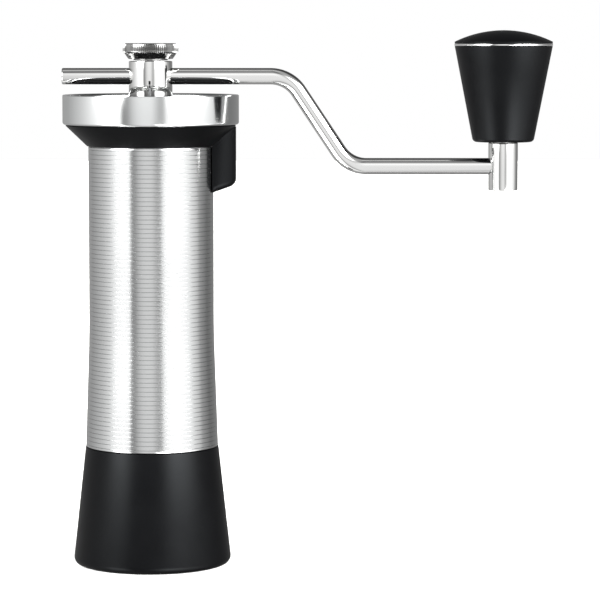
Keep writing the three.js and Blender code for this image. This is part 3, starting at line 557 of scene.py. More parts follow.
@dataclass(frozen=True)
class MarkedDial(Machined):
    """Anodised aluminium with click marks engraved in its upper face and filled with pale paint."""

    marks: int = 36
    mark_from_mm: float = 9.6
    mark_to_mm: float = 11.6
    face_mm: float = 179.85
    half_width: float = 0.09
    paint: str = "D9D7D0"

    def dress(self, tree: bpy.types.NodeTree, shader: bpy.types.Node) -> None:
        """Builds the machined face, and the marks on it.

        Args:
            tree: The material's tree.
            shader: Its shader.
        """
        super().dress(tree, shader)
        place = add_node(tree, "ShaderNodeTexCoord").outputs["Object"]
        parts = add_node(tree, "ShaderNodeSeparateXYZ", {"Vector": place})
        away = distance_from_z(tree, parts)
        turn = sum_of(tree, "ARCTAN2", parts.outputs["Y"], parts.outputs["X"])
        share = sum_of(tree, "FRACT", sum_of(tree, "MULTIPLY", turn, self.marks / FULL_TURN))
        shown = sum_of(tree, "COMPARE", share, 0.5, self.half_width)
        for limit in (sum_of(tree, "GREATER_THAN", away, self.mark_from_mm * MM),
                      sum_of(tree, "LESS_THAN", away, self.mark_to_mm * MM),
                      sum_of(tree, "GREATER_THAN", parts.outputs["Z"], self.face_mm * MM)):
            shown = sum_of(tree, "MULTIPLY", shown, limit)
        ground = shader.inputs["Base Color"].links[0].from_socket
        painted = add_node(tree, "ShaderNodeMix", {0: shown, 6: ground, 7: linear(self.paint)},
                           data_type="RGBA")
        tree.links.new(painted.outputs[2], shader.inputs["Base Color"])
        tree.links.new(sum_of(tree, "SUBTRACT", 1.0, shown), shader.inputs["Metallic"])


# Glass-filled nylon from a spark-eroded tool: deep black, with broad soft highlights.
BLACK_NYLON = Moulded("spark_eroded_black_nylon", "black_plastic", "030304", "060607", 0.35, 0.04,
                      specular=0.095,
                      specular_tint="F5FBFF")
# The knob is handled more, so its grain is worn a little smoother.
HANDLED_NYLON = Moulded("handled_black_nylon", "black_plastic", "030304", "060607", 0.38, 0.04, grain_mm=0.3,
                        grain_height_mm=0.004, specular=0.12, specular_tint="F5FBFF")
# The lid comes from a polished tool: it mirrors what is low over it, and stays black from above.
GLOSSY_NYLON = Moulded("polished_tool_black_nylon", "black_plastic", "0B0C0D", "0F1011", 0.06, 0.02,
                       grain_height_mm=0.0002)
# Rolled stainless tube with turned grooves: silky bands from foot to top.
GROOVED_STEEL = Machined("turned_grooved_stainless_steel", "sleeve_steel", "C9CACA", "CFD0D0", 0.17, 0.015,
                         line_mm=0.10, line_height_mm=0.0003, anisotropy=0.6, patch_mm=40.0)
# Turned and lightly buffed ring: clear reflections with faint lines around it.
BUFFED_RING_STEEL = Machined("buffed_turned_stainless_steel", "ring_steel", "E0E2E2", "E5E6E6", 0.13, 0.02,
                             line_mm=0.14, line_height_mm=0.0007, anisotropy=0.5)
# Mirror-polished stainless: sharp reflections with only hairline wear.
POLISHED_STEEL = Machined("mirror_polished_stainless_steel", "polished_steel", "E2E2E1", "E7E7E6", 0.07, 0.02,
                          line_mm=0.3, line_height_mm=0.0002)
# The screw's rim is rolled in a knurling tool, with a short soft glint on every ridge. Its steel is a darker
# grey than the polished steel of the same slot: painted shade for the knurl's valleys and the shadowed neck
# under the cap, laid over the whole screw.
SHADE_DARKENED_KNURLED_STEEL = Machined("knurled_stainless_steel_with_painted_shade", "polished_steel", "8E8E8D", "989897", 0.2, 0.03,
                         line_mm=0.2, line_height_mm=0.0004)
POLISHED_BAR = Machined("mirror_polished_stainless_bar", "polished_steel", "E2E2E1", "E7E7E6", 0.07, 0.02,
                        line_mm=0.3, line_height_mm=0.0002, grain=Grain.ALONG_X)
POLISHED_SPINDLE = Machined("mirror_polished_stainless_spindle", "polished_steel", "E2E2E1", "E7E7E6", 0.08,
                            0.02,
                            line_mm=0.3, line_height_mm=0.0002, axis_x=CRANK_RADIUS)
# Turned aluminium: paler and duller than steel, with plain tool lines.
TURNED_ALUMINIUM = Machined("turned_bead_blasted_aluminium", "chassis_aluminium", "C9CBCC", "D2D3D4", 0.36,
                            0.05,
                            line_mm=0.16, line_height_mm=0.002, anisotropy=0.3)
# Anodised aluminium: a deep satin black with pale marks.
DIAL_ALUMINIUM = MarkedDial("black_anodised_aluminium", "dial_aluminium", "2B2C2F", "333438", 0.34, 0.04)
# Hardened tool steel: ground, dark and slightly blue.
BURR_STEEL = Machined("hardened_ground_tool_steel", "burr_steel", "75777C", "83858A", 0.3, 0.06, line_mm=0.1,
                      line_height_mm=0.0015)
# Zinc-plated turned steel: bright but a little cloudy.
PLATED_STEEL = Machined("zinc_plated_turned_steel", "machined_steel", "B9BBBE", "C6C8CA", 0.28, 0.06,
                        line_mm=0.15,
                        line_height_mm=0.0015)
# Turned brass: warm, with plain tool lines.
TURNED_BRASS = Machined("turned_brass", "brass", "B8954E", "C7A55F", 0.27, 0.05, line_mm=0.14,
                        line_height_mm=0.0015,
                        anisotropy=0.3)
# Nickel-plated magnet: a warm silver with small cloudy patches.
PLATED_NICKEL = Machined("nickel_plated_magnet", "magnet_nickel", "BDB9B0", "C9C5BC", 0.2, 0.05, patch_mm=5.0)
# Acetal: an off-white, slightly waxy polymer.
ACETAL = Moulded("machined_white_acetal", "bush_polymer", "DFDACB", "E6E2D6", 0.45, 0.05, grain_mm=0.5)
# Nitrile rubber: black and matt.
NITRILE = Moulded("moulded_nitrile_rubber", "rubber", "17181A", "1C1D1F", 0.7, 0.06, grain_mm=0.25)


# ---------------------------------------------------------------- sub-assemblies


class SubAssembly:
    """Pieces that are built together."""

    def build(self) -> None:
        """Builds and places every piece."""
        raise NotImplementedError

    @staticmethod
    def place(piece: bpy.types.Object, body: Body, finish: Finish, *nodes: str) -> bpy.types.Object:
        """Dresses a finished piece and puts it on its body instead of the frame's nodes.

        Args:
            piece: The finished piece.
            body: The body that it moves with.
            finish: Its finish.
            *nodes: The nodes of the frame that it stands for.

        Returns:
            The same piece.
        """
        piece.data.materials.clear()
        piece.data.materials.append(finish.material())
        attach(piece, body.value)
        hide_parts(*nodes)
        log.info("%s: %d faces, %s", piece.name, len(piece.data.polygons), finish.name)
        return piece

    @classmethod
    def show(cls, shape: bmesh.types.BMesh, node: str, body: Body, finish: Finish, x: float = 0.0) -> None:
        """Finishes a mesh that stands for one node of the frame, with its axis at x, and places it."""
        cls.place(finished(shape, f"{node}_fine", x), body, finish, node)

    @classmethod
    def ring(cls, node: str, body: Body, finish: Finish, bore: float, fillet: float = 0.2, x: float = 0.0,
             sides: Sides = Sides.INNER) -> None:
        """Shows a plain ring around a bore, as high and as wide as its node."""
        at = extent(node)
        cls.show(hoop(bore, at.radius, at.foot, at.top, fillet, sides), node, body, finish, x)

    @staticmethod
    def keep(node: str, finish: Finish) -> None:
        """Keeps a node of the frame as it is, with a fine material.

        Args:
            node: The node's name.
            finish: Its finish.
        """
        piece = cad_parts[node]
        for slot in piece.material_slots:
            slot.material = finish.material()
        log.info("%s: kept, %s", node, finish.name)


@dataclass
class CatchCup(SubAssembly):
    """The black cup at the foot, with the steel ring that the housing's magnet holds."""

    rim: float = 26.95
    foot: float = 32.15
    mouth: float = 24.3
    wall: float = 2.4
    floor: float = 3.0
    foot_fillet: float = 3.2
    rim_edge: float = 0.35
    ledge: float = 2.2
    ledge_height: float = 2.0
    foot_recess: float = 0.7
    foot_land: float = 6.5
    belly_fillet: float = 1.2
    floor_fillet: float = 2.0
    ring_width: float = 4.4

    def radius_at(self, z: float, top: float) -> float:
        """Outer radius of the cup at a height."""
        return self.foot + (self.rim - self.foot) * z / top

    def build(self) -> None:
        """Builds the cup and its ring."""
        cup = extent("catch_cup")
        ring = extent("cup_steel_ring")
        ledge_top = ring.foot - GAP
        ledge_foot = ledge_top - self.ledge_height
        belly = ledge_foot - self.ledge_height
        land = self.foot - self.foot_land
        shell = turned([
            Corner(0, self.foot_recess),
            Corner(land, self.foot_recess, self.foot_recess / 2),
            Corner(land + self.foot_recess, cup.foot, self.foot_recess / 2),
            Corner(self.foot, cup.foot, self.foot_fillet),
            Corner(self.rim, cup.top, self.rim_edge),
            Corner(self.mouth, cup.top, self.rim_edge),
            Corner(self.mouth, ledge_top),
            Corner(self.mouth - self.ledge, ledge_top, self.rim_edge),
            Corner(self.mouth - self.ledge, ledge_foot, self.rim_edge),
            Corner(self.radius_at(belly, cup.top) - self.wall, belly, self.belly_fillet),
            Corner(self.radius_at(2 * self.floor, cup.top) - self.wall, 2 * self.floor,
                   self.floor_fillet),
            Corner(self.radius_at(self.floor, cup.top) - self.wall - self.floor, self.floor,
                   self.floor_fillet),
            Corner(0, self.floor),
        ], Sides.SHOWN)
        self.show(shell, "catch_cup", Body.CUP, BLACK_NYLON)
        self.ring("cup_steel_ring", Body.CUP, PLATED_STEEL, ring.radius - self.ring_width)


@dataclass
class Sleeve(SubAssembly):
    """The steel sleeve that is gripped: it flares at the foot, and fine grooves run around it."""

    grip: float = 25.2
    bore: float = 24.3
    flare: float = 1.58
    flare_length: float = 54.0
    flare_blend: float = 0.3
    lip: float = 1.0
    groove_pitch: float = 1.8
    groove_width: float = 0.32
    groove_depth: float = 0.16
    crown: float = 0.008

    def radius_at(self, z: float, foot: float) -> float:
        """Outer radius of the sleeve at a height above its foot.

        Args:
            z: The height.
            foot: The height of the sleeve's foot.

        Returns:
            The radius on the ribs.
        """
        widening = max(0.0, 1 - (z - foot) / self.flare_length)
        blend = self.flare_blend
        ease = widening ** 2 / (2 * blend) if widening < blend else widening - blend / 2
        return self.grip + self.flare * ease / (1 - blend / 2)

    def rib(self, start: float, end: float, foot: float) -> list[Corner]:
        """One slightly crowned rib and the groove above it.

        Args:
            start: The height of the groove below.
            end: The height of the groove above.
            foot: The height of the sleeve's foot.

        Returns:
            The rib's corners, from the foot up.
        """
        half = self.groove_width / 2
        length = end - start
        sagged = [(half, self.crown),
                  *((share * length, self.crown * (2 * share - 1) ** 2) for share in (0.25, 0.5, 0.75)),
                  (length - half, self.crown), (length, self.groove_depth)]
        return [Corner(self.radius_at(start + rise, foot) - sag, start + rise) for rise, sag in sagged]

    def build(self) -> None:
        """Builds the grooved sleeve."""
        sleeve = extent("outer_sleeve")
        low, high = sleeve.foot + self.lip, sleeve.top - self.lip
        count = round((high - low) / self.groove_pitch)
        pitch = (high - low) / count
        corners = [Corner(self.bore, sleeve.foot),
                   Corner(self.radius_at(sleeve.foot, sleeve.foot), sleeve.foot, 0.15),
                   Corner(self.radius_at(low, sleeve.foot), low - self.groove_width / 2),
                   Corner(self.radius_at(low, sleeve.foot) - self.groove_depth, low)]
        for i in range(count):
            corners += self.rib(low + i * pitch, low + (i + 1) * pitch, sleeve.foot)
        corners += [Corner(self.grip, high + self.groove_width / 2), Corner(self.grip, sleeve.top, 0.15),
                    Corner(self.bore, sleeve.top)]
        self.show(turned(corners, Sides.SHOWN), "outer_sleeve", Body.HOUSING, GROOVED_STEEL)


@dataclass
class Collar(SubAssembly):
    """The black collar under the ring: it holds the hopper's liner and the thumb rest."""

    foot_radius: float = 25.65
    shelf_radius: float = 34.4
    shelf: float = 178.0
    seat: float = 24.3
    funnel: float = 22.4
    liner_radius: float = 32.1
    liner_bore: float = 30.4
    liner_step: float = 2.2
    seat_top: float = 174.2
    funnel_foot: float = 175.9
    rest_half_width: float = 5.9
    rest_root: float = 25.3
    rest_reach: float = 9.05
    rest_toe: float = 151.2
    rest_rise: float = 3.0
    rest_slant_reach: float = 9.15
    rest_edge: float = 2.4
    rest_sink: float = 0.5
    sleeve_clearance: float = 25.5
    clearance_foot: float = 142.2
    clearance_top: float = 170.0
    cone_foot: float = 169.6

    def thumb_rest(self) -> bpy.types.Object:
        """Builds the post under the thumb, with its slanted rounded toe.

        Returns:
            The post, ready to be joined to the collar.
        """
        shape = bmesh.new()
        bmesh.ops.create_circle(shape, cap_ends=True, segments=Sides.INNER.value, radius=1)
        bmesh.ops.scale(shape, vec=(self.rest_reach, self.rest_half_width, 1), verts=shape.verts)
        bmesh.ops.translate(shape, vec=(self.rest_root, 0, self.rest_toe - self.rest_rise), verts=shape.verts)
        grown = bmesh.ops.extrude_face_region(shape, geom=shape.faces[:])["geom"]
        top = [part for part in grown if isinstance(part, bmesh.types.BMVert)]
        bmesh.ops.translate(shape, vec=(0, 0, self.shelf + self.rest_rise - self.rest_toe - self.rest_sink),
                            verts=top)
        bmesh.ops.recalc_face_normals(shape, faces=shape.faces)
        slope = math.atan2(self.rest_rise, self.rest_slant_reach)
        parted = bmesh.ops.bisect_plane(
            shape, geom=shape.verts[:] + shape.edges[:] + shape.faces[:], dist=WELD,
            plane_co=(self.sleeve_clearance, 0, self.rest_toe),
            plane_no=(-math.sin(slope), 0, math.cos(slope)),
            clear_inner=True)
        rim = [part for part in parted["geom_cut"] if isinstance(part, bmesh.types.BMEdge)]
        bmesh.ops.contextual_create(shape, geom=rim)
        outer = [edge for edge in rim if edge.verts[0].co.x + edge.verts[1].co.x > 2 * self.sleeve_clearance]
        bmesh.ops.bevel(shape, geom=outer, offset=self.rest_edge, offset_type="OFFSET", segments=6,
                        profile=0.5,
                        affect="EDGES", material=-1)
        rest = finished(shape, "thumb_rest")
        clearance = finished(post(self.sleeve_clearance, self.clearance_foot, self.clearance_top, 0,
                                  Sides.SHOWN),
                             "sleeve_clearance")
        return carved(rest, Carving.CUT, [clearance])

    def build(self) -> None:
        """Builds the collar, its liner and the thumb rest as one moulding."""
        collar = extent("hopper_collar")
        lower = collar.top - self.liner_step
        body = turned([
            Corner(self.seat, self.cone_foot, 0.2),
            Corner(self.foot_radius, self.cone_foot, 0.3),
            Corner(self.shelf_radius, self.shelf, 0.25),
            Corner(self.liner_radius, self.shelf),
            Corner(self.liner_radius, collar.top, 0.2),
            Corner(self.liner_bore, collar.top, 0.2),
            Corner(self.liner_bore, lower, 1.0),
            Corner(self.funnel, self.funnel_foot, 0.3),
            Corner(self.funnel, self.seat_top),
            Corner(self.seat, self.seat_top),
        ], Sides.SHOWN)
        moulding = carved(finished(body, "hopper_collar_fine"), Carving.JOIN, [self.thumb_rest()])
        self.place(moulding, Body.HOUSING, BLACK_NYLON, "hopper_collar")


@dataclass
class HopperRim(SubAssembly):
    """The heavy steel ring around the hopper's mouth, and the black lid in it."""

    bore: float = 32.4
    foot_fillet: float = 1.1
    edge: float = 0.5
    lead_in: float = 1.5
    hole: float = 9.05
    lid_thickness: float = 1.8
    lid_radius: float = 32.1
    skirt: float = 30.1
    skirt_wall: float = 1.4

    def build(self) -> None:
        """Builds the ring and the lid."""
        ring = extent("hopper_ring")
        band = turned([Corner(self.bore, ring.foot, 0.3), Corner(ring.radius, ring.foot, self.foot_fillet),
                       Corner(ring.radius, ring.top, self.edge), Corner(self.bore, ring.top, self.lead_in)],
                      Sides.SHOWN)
        self.show(band, "hopper_ring", Body.HOUSING, BUFFED_RING_STEEL)
        lid = extent("hopper_lid")
        under = lid.top - self.lid_thickness
        inner = self.skirt - self.skirt_wall
        plate = turned([
            Corner(self.hole, under, 0.3), Corner(inner, under, 0.4), Corner(inner, lid.foot, 0.3),
            Corner(self.skirt, lid.foot, 0.3), Corner(self.skirt, under), Corner(self.lid_radius, under, 0.2),
            Corner(self.lid_radius, lid.top, 0.5), Corner(self.hole, lid.top, 0.5)], Sides.SHOWN)
        self.show(plate, "hopper_lid", Body.LID, GLOSSY_NYLON)


@dataclass
class Chassis(SubAssembly):
    """The aluminium tube in the sleeve, its two brackets and the screws that hold them."""

    radius: float = 24.0
    bore: float = 22.3
    throat: float = 16.8
    throat_foot: float = 66.9
    throat_top: float = 68.9
    funnel_top: float = 76.9
    arm_width: float = 4.2
    arm_height: float = 5.5
    arm_reach: float = 21.9
    arm_turns: tuple[float, ...] = (90.0, 210.0, 330.0)
    screw_heights: tuple[float, ...] = (79.95, 155.15)
    screw_radius: float = 1.25
    screw_hole: float = 1.55
    head_seat: float = 2.5
    head_radius: float = 2.2
    head_height: float = 0.8
    screw_from: float = 16.0
    screw_tip: float = 0.9
    screw_pitch: float = 0.5
    screw_key: float = 1.1
    screw_key_depth: float = 0.6
    head_recess: float = 0.1
    countersink: float = 1.4
    arm_root: float = 0.6
    low_bore: float = 6.1
    low_hub: float = 7.7
    high_bore: float = 5.3
    high_hub: float = 11.3
    high_seat: float = 9.7
    high_floor: float = 1.6
    bush_bore: float = 4.3

    def arms(self, hub: float, foot: float) -> list[bpy.types.Object]:
        """Builds the arms of a bracket.

        Args:
            hub: The radius where they leave the hub.
            foot: The height of their lower face.

        Returns:
            The arms, to be joined to the hub.
        """
        made = []
        for turn in self.arm_turns:
            half = self.arm_width / 2
            arm = slab((hub - self.arm_root, -half, foot), (self.arm_reach, half, foot + self.arm_height),
                       0.4)
            bmesh.ops.rotate(arm, cent=(0, 0, 0), matrix=Matrix.Rotation(math.radians(turn), 3, "Z"),
                             verts=arm.verts)
            made.append(finished(arm, "bracket_arm"))
        return made

    def cross_tools(self, z: float, radius: float, start: float, end: float) -> list[bpy.types.Object]:
        """Builds a round tool along each arm's screw at a height.

        Args:
            z: The height.
            radius: The tool's radius.
            start: How far from the axis it starts.
            end: How far from the axis it ends.

        Returns:
            The tools.
        """
        return [finished(lay_along_x(post(radius, start, end, 0, Sides.SMALL), z, math.radians(turn)),
                         "screw_tool")
                for turn in self.arm_turns]

    def tube(self) -> None:
        """Builds the tube with its throat, funnel and countersunk screw holes."""
        tube = extent("chassis_tube")
        shape = turned([
            Corner(self.bore, tube.foot, 0.3), Corner(self.radius, tube.foot, 0.4),
            Corner(self.radius, tube.top, 0.3), Corner(self.bore, tube.top, 0.3),
            Corner(self.bore, self.funnel_top, 0.6), Corner(self.throat, self.throat_top, 0.5),
            Corner(self.throat, self.throat_foot, 0.3), Corner(self.bore, self.throat_foot)], Sides.INNER)
        piece = finished(shape, "chassis_tube_fine")
        for z in self.screw_heights:
            for radius, start in ((self.screw_hole, self.bore - OVER),
                                  (self.head_seat, self.radius - self.countersink)):
                carved(piece, Carving.CUT, self.cross_tools(z, radius, start, self.radius + OVER))
        self.place(piece, Body.HOUSING, TURNED_ALUMINIUM, "chassis_tube")

    def brackets(self) -> None:
        """Builds the bush's bracket low down and the carrier's bracket high up."""
        low = extent("lower_bracket")
        hub = finished(hoop(self.low_bore, self.low_hub, low.foot, low.top, 0.3, Sides.INNER),
                       "lower_bracket_fine")
        carved(hub, Carving.JOIN, self.arms(self.low_hub, low.foot))
        self.place(hub, Body.HOUSING, TURNED_ALUMINIUM, "lower_bracket")
        high = extent("upper_bracket")
        ledge = high.foot + self.high_floor
        cup = turned([
            Corner(self.high_bore, high.foot, 0.2), Corner(self.high_hub, high.foot, 0.3),
            Corner(self.high_hub, high.top, 0.3), Corner(self.high_seat, high.top, 0.2),
            Corner(self.high_seat, ledge, 0.3), Corner(self.high_bore, ledge, 0.2)], Sides.INNER)
        cup_piece = finished(cup, "upper_bracket_fine")
        carved(cup_piece, Carving.JOIN, self.arms(self.high_hub, high.foot))
        self.place(cup_piece, Body.HOUSING, TURNED_ALUMINIUM, "upper_bracket")
        self.ring("lower_bush", Body.HOUSING, ACETAL, self.bush_bore)

    def screws(self) -> None:
        """Builds the six bracket screws with hexagon sockets in their heads."""
        face = self.radius - self.head_recess
        seat = face - self.head_height
        for level, z in enumerate(self.screw_heights):
            for place, turn in enumerate(self.arm_turns):
                flank = thread(self.screw_radius, self.screw_from + self.screw_pitch, seat, self.screw_pitch)
                shape = turned([Corner(0, self.screw_from), Corner(self.screw_tip, self.screw_from), *flank,
                                Corner(self.head_radius, seat, 0.1), Corner(self.head_radius, face, 0.25),
                                Corner(0, face)], Sides.SMALL)
                name = f"bracket_screw_{len(self.arm_turns) * level + place + 1}"
                piece = finished(lay_along_x(shape, z, math.radians(turn)), f"{name}_fine")
                key = post(self.screw_key, face - self.screw_key_depth, face + OVER, 0, Sides.HEXAGON)
                socket = finished(lay_along_x(key, z, math.radians(turn)), "socket")
                carved(piece, Carving.CUT, [socket])
                self.place(piece, Body.HOUSING, PLATED_STEEL, name)

    def build(self) -> None:
        """Builds the tube and what is screwed into it."""
        self.tube()
        self.brackets()
        self.screws()


@dataclass
class Burrs(SubAssembly):
    """The ring burr with its magnet and retaining ring, and the cone burr with its washer and screw."""

    teeth: int = 24
    cone_teeth: int = 18
    twist: float = 0.42
    outlet: float = 19.3
    inlet: float = 16.5
    tooth: float = 0.5
    seat: float = 19.6
    cone_foot: float = 18.7
    cone_top: float = 8.0
    hole: float = 4.3
    steps: int = 10
    washer_bore: float = 2.3
    head_height: float = 2.1
    screw_neck: float = 1.6
    screw_radius: float = 2.0
    screw_runout: float = 0.4
    screw_pitch: float = 0.7
    screw_tip: float = 1.5
    screw_key: float = 2.9
    screw_key_depth: float = 1.4

    def ring_side(self) -> None:
        """Builds the ring burr, the magnet and the retaining ring."""
        burr = extent("ring_burr")
        height = burr.top - burr.foot
        stations = []
        for i in range(self.steps + 1):
            share = i / self.steps
            reach = self.outlet + (self.inlet - self.outlet) * share
            stations.append(Station(burr.foot - OVER + (height + 2 * OVER) * share, reach, reach + self.tooth,
                                    self.twist * share))
        blank = finished(post(burr.radius, burr.foot, burr.top, 0.4, Sides.INNER), "ring_burr_fine")
        carved(blank, Carving.CUT, [finished(fluted(self.teeth, stations), "ring_burr_teeth")])
        self.place(blank, Body.HOUSING, BURR_STEEL, "ring_burr")
        self.ring("ring_magnet", Body.HOUSING, PLATED_NICKEL, self.seat, 0.25)
        self.ring("burr_retaining_ring", Body.HOUSING, TURNED_ALUMINIUM, self.seat, 0.4)

    def cone_side(self) -> None:
        """Builds the cone burr, its washer and its screw."""
        burr = extent("cone_burr")
        height = burr.top - burr.foot
        stations = []
        for i in range(self.steps + 1):
            share = i / self.steps
            waist = self.cone_foot - (self.cone_foot - self.cone_top) * share ** 1.4
            stations.append(Station(burr.foot + height * share, waist - self.tooth * (1 + 2 * share), waist,
                                    -self.twist * share))
        cone = finished(fluted(self.cone_teeth, stations), "cone_burr_fine")
        hole = post(self.hole, burr.foot - OVER, burr.top + OVER, 0, Sides.SMALL)
        carved(cone, Carving.CUT, [finished(hole, "hole")])
        self.place(cone, Body.SHAFT, BURR_STEEL, "cone_burr")
        self.ring("burr_washer", Body.SHAFT, PLATED_STEEL, self.washer_bore, 0.15)
        screw = extent("burr_screw")
        head_top = screw.foot + self.head_height
        flank = thread(self.screw_radius, head_top + self.screw_runout, screw.top - self.screw_runout,
                       self.screw_pitch)
        shape = turned([Corner(0, screw.foot), Corner(screw.radius, screw.foot, 0.4),
                        Corner(screw.radius, head_top, 0.2), Corner(self.screw_neck, head_top),
                        *flank, Corner(self.screw_tip, screw.top, 0.2), Corner(0, screw.top)], Sides.SMALL)
        piece = finished(shape, "burr_screw_fine")
        key = post(self.screw_key, screw.foot - OVER, screw.foot + self.screw_key_depth, 0, Sides.HEXAGON)
        socket = finished(key, "socket")
        self.place(carved(piece, Carving.CUT, [socket]), Body.SHAFT, PLATED_STEEL, "burr_screw")
        self.keep("bean_feeder", TURNED_ALUMINIUM)

    def build(self) -> None:
        """Builds both burrs."""
        self.ring_side()
        self.cone_side()


@dataclass
class Adjuster(SubAssembly):
    """The shaft, its bearing and carrier, the spring under it and the dial that lowers it."""

    shaft: float = 4.0
    shoulder: float = 5.0
    shoulder_foot: float = 161.4
    shoulder_top: float = 162.7
    hexagon_foot: float = 181.5
    screw_hole: float = 2.3
    screw_hole_depth: float = 10.3
    shaft_seat: float = 4.3
    carrier_bore: float = 5.9
    carrier_neck: float = 9.4
    carrier_flange: float = 11.0
    flange_height: float = 2.2
    bearing_seat: float = 8.3
    carrier_floor: float = 1.1
    snap_ring_bore: float = 9.7
    coil_radius: float = 8.55
    wire: float = 0.55
    turns: int = 3
    wire_sides: int = 16
    dial_radius: float = 13.4
    dial_skirt: float = 11.6
    dial_bore: float = 5.3
    dial_plate: float = 3.0
    scallops: int = 12
    scallop_radius: float = 2.4
    scallop_out: float = 0.75

    def shaft_pieces(self) -> None:
        """Builds the shaft, the bearing's inner ring and the clip above it."""
        shaft = extent("drive_shaft")
        hole_top = shaft.foot + self.screw_hole_depth
        bar = turned([Corner(self.screw_hole, shaft.foot, 0.2), Corner(self.shaft, shaft.foot, 0.3),
                      Corner(self.shaft, self.shoulder_foot), Corner(self.shoulder, self.shoulder_foot, 0.2),
                      Corner(self.shoulder, self.shoulder_top, 0.15), Corner(self.shaft, self.shoulder_top),
                      Corner(self.shaft, self.hexagon_foot, 0.3), Corner(0, self.hexagon_foot),
                      Corner(0, hole_top), Corner(self.screw_hole, hole_top)], Sides.SMALL)
        piece = finished(bar, "drive_shaft_fine")
        hexagon = finished(post(self.shaft, self.hexagon_foot - OVER, shaft.top, 0.6, Sides.HEXAGON),
                           "hexagon")
        self.place(carved(piece, Carving.JOIN, [hexagon]), Body.SHAFT, PLATED_STEEL, "drive_shaft")
        for node, body, bore in (("bearing_inner_ring", Body.SHAFT, self.shaft_seat),
                                 ("shaft_clip", Body.SHAFT, self.shaft_seat),
                                 ("bearing_outer_ring", Body.CARRIER, self.carrier_bore),
                                 ("dial_snap_ring", Body.DIAL, self.snap_ring_bore)):
            self.ring(node, body, PLATED_STEEL, bore)

    def spring(self) -> None:
        """Builds the spring that takes up the carrier's play: an even coil, with the wire's two ends capped.
        """
        spring = extent("backlash_spring")
        rise = spring.top - spring.foot - 2 * self.wire
        shape = wire_section(self.wire, self.coil_radius, spring.foot + self.wire, self.wire_sides)
        steps = Sides.SMALL.value * self.turns
        first = shape.edges[:]
        last = bmesh.ops.spin(shape, geom=shape.verts[:] + shape.edges[:], cent=(0, 0, 0), axis=(0, 0, 1),
                              dvec=(0, 0, rise / steps), angle=FULL_TURN * self.turns,
                              steps=steps)["geom_last"]
        bmesh.ops.contextual_create(shape, geom=first)
        bmesh.ops.contextual_create(shape, geom=[part for part in last if isinstance(part,
                                                                                     bmesh.types.BMEdge)])
        self.show(shape, "backlash_spring", Body.HOUSING, PLATED_STEEL)

    def carrier(self) -> None:
        """Builds the brass cup that carries the bearing."""
        carrier = extent("bearing_carrier")
        flange = carrier.top - self.flange_height
        floor = carrier.foot + self.carrier_floor
        shape = turned([
            Corner(self.carrier_bore, carrier.foot, 0.2), Corner(self.carrier_neck, carrier.foot, 0.4),
            Corner(self.carrier_neck, flange, 0.2), Corner(self.carrier_flange, flange, 0.2),
            Corner(self.carrier_flange, carrier.top, 0.3), Corner(self.bearing_seat, carrier.top, 0.3),
            Corner(self.bearing_seat, floor, 0.2), Corner(self.carrier_bore, floor, 0.2)], Sides.INNER)
        self.show(shape, "bearing_carrier", Body.CARRIER, TURNED_BRASS)

    def dial(self) -> None:
        """Builds the dial with its scalloped grip."""
        dial = extent("adjusting_dial")
        plate = dial.top - self.dial_plate
        shape = turned([Corner(self.dial_skirt, dial.foot, 0.2), Corner(self.dial_radius, dial.foot, 0.3),
                        Corner(self.dial_radius, dial.top, 0.5), Corner(self.dial_bore, dial.top, 0.4),
                        Corner(self.dial_bore, plate, 0.2), Corner(self.dial_skirt, plate, 0.3)], Sides.INNER)
        piece = finished(shape, "adjusting_dial_fine")
        tools = []
        for i in range(self.scallops):
            tool = post(self.scallop_radius, dial.foot - OVER, dial.top + OVER, 0, Sides.SMALL)
            out = Matrix.Rotation(i * FULL_TURN / self.scallops, 4, "Z") @ Matrix.Translation(
                (self.dial_radius + self.scallop_out * self.scallop_radius, 0, 0))
            bmesh.ops.transform(tool, matrix=out, verts=tool.verts)
            tools.append(finished(tool, "scallop"))
        self.place(carved(piece, Carving.CUT, tools), Body.DIAL, DIAL_ALUMINIUM, "adjusting_dial")

    def build(self) -> None:
        """Builds the shaft, the bearing and the dial."""
        self.shaft_pieces()
        self.spring()
        self.carrier()
        self.dial()


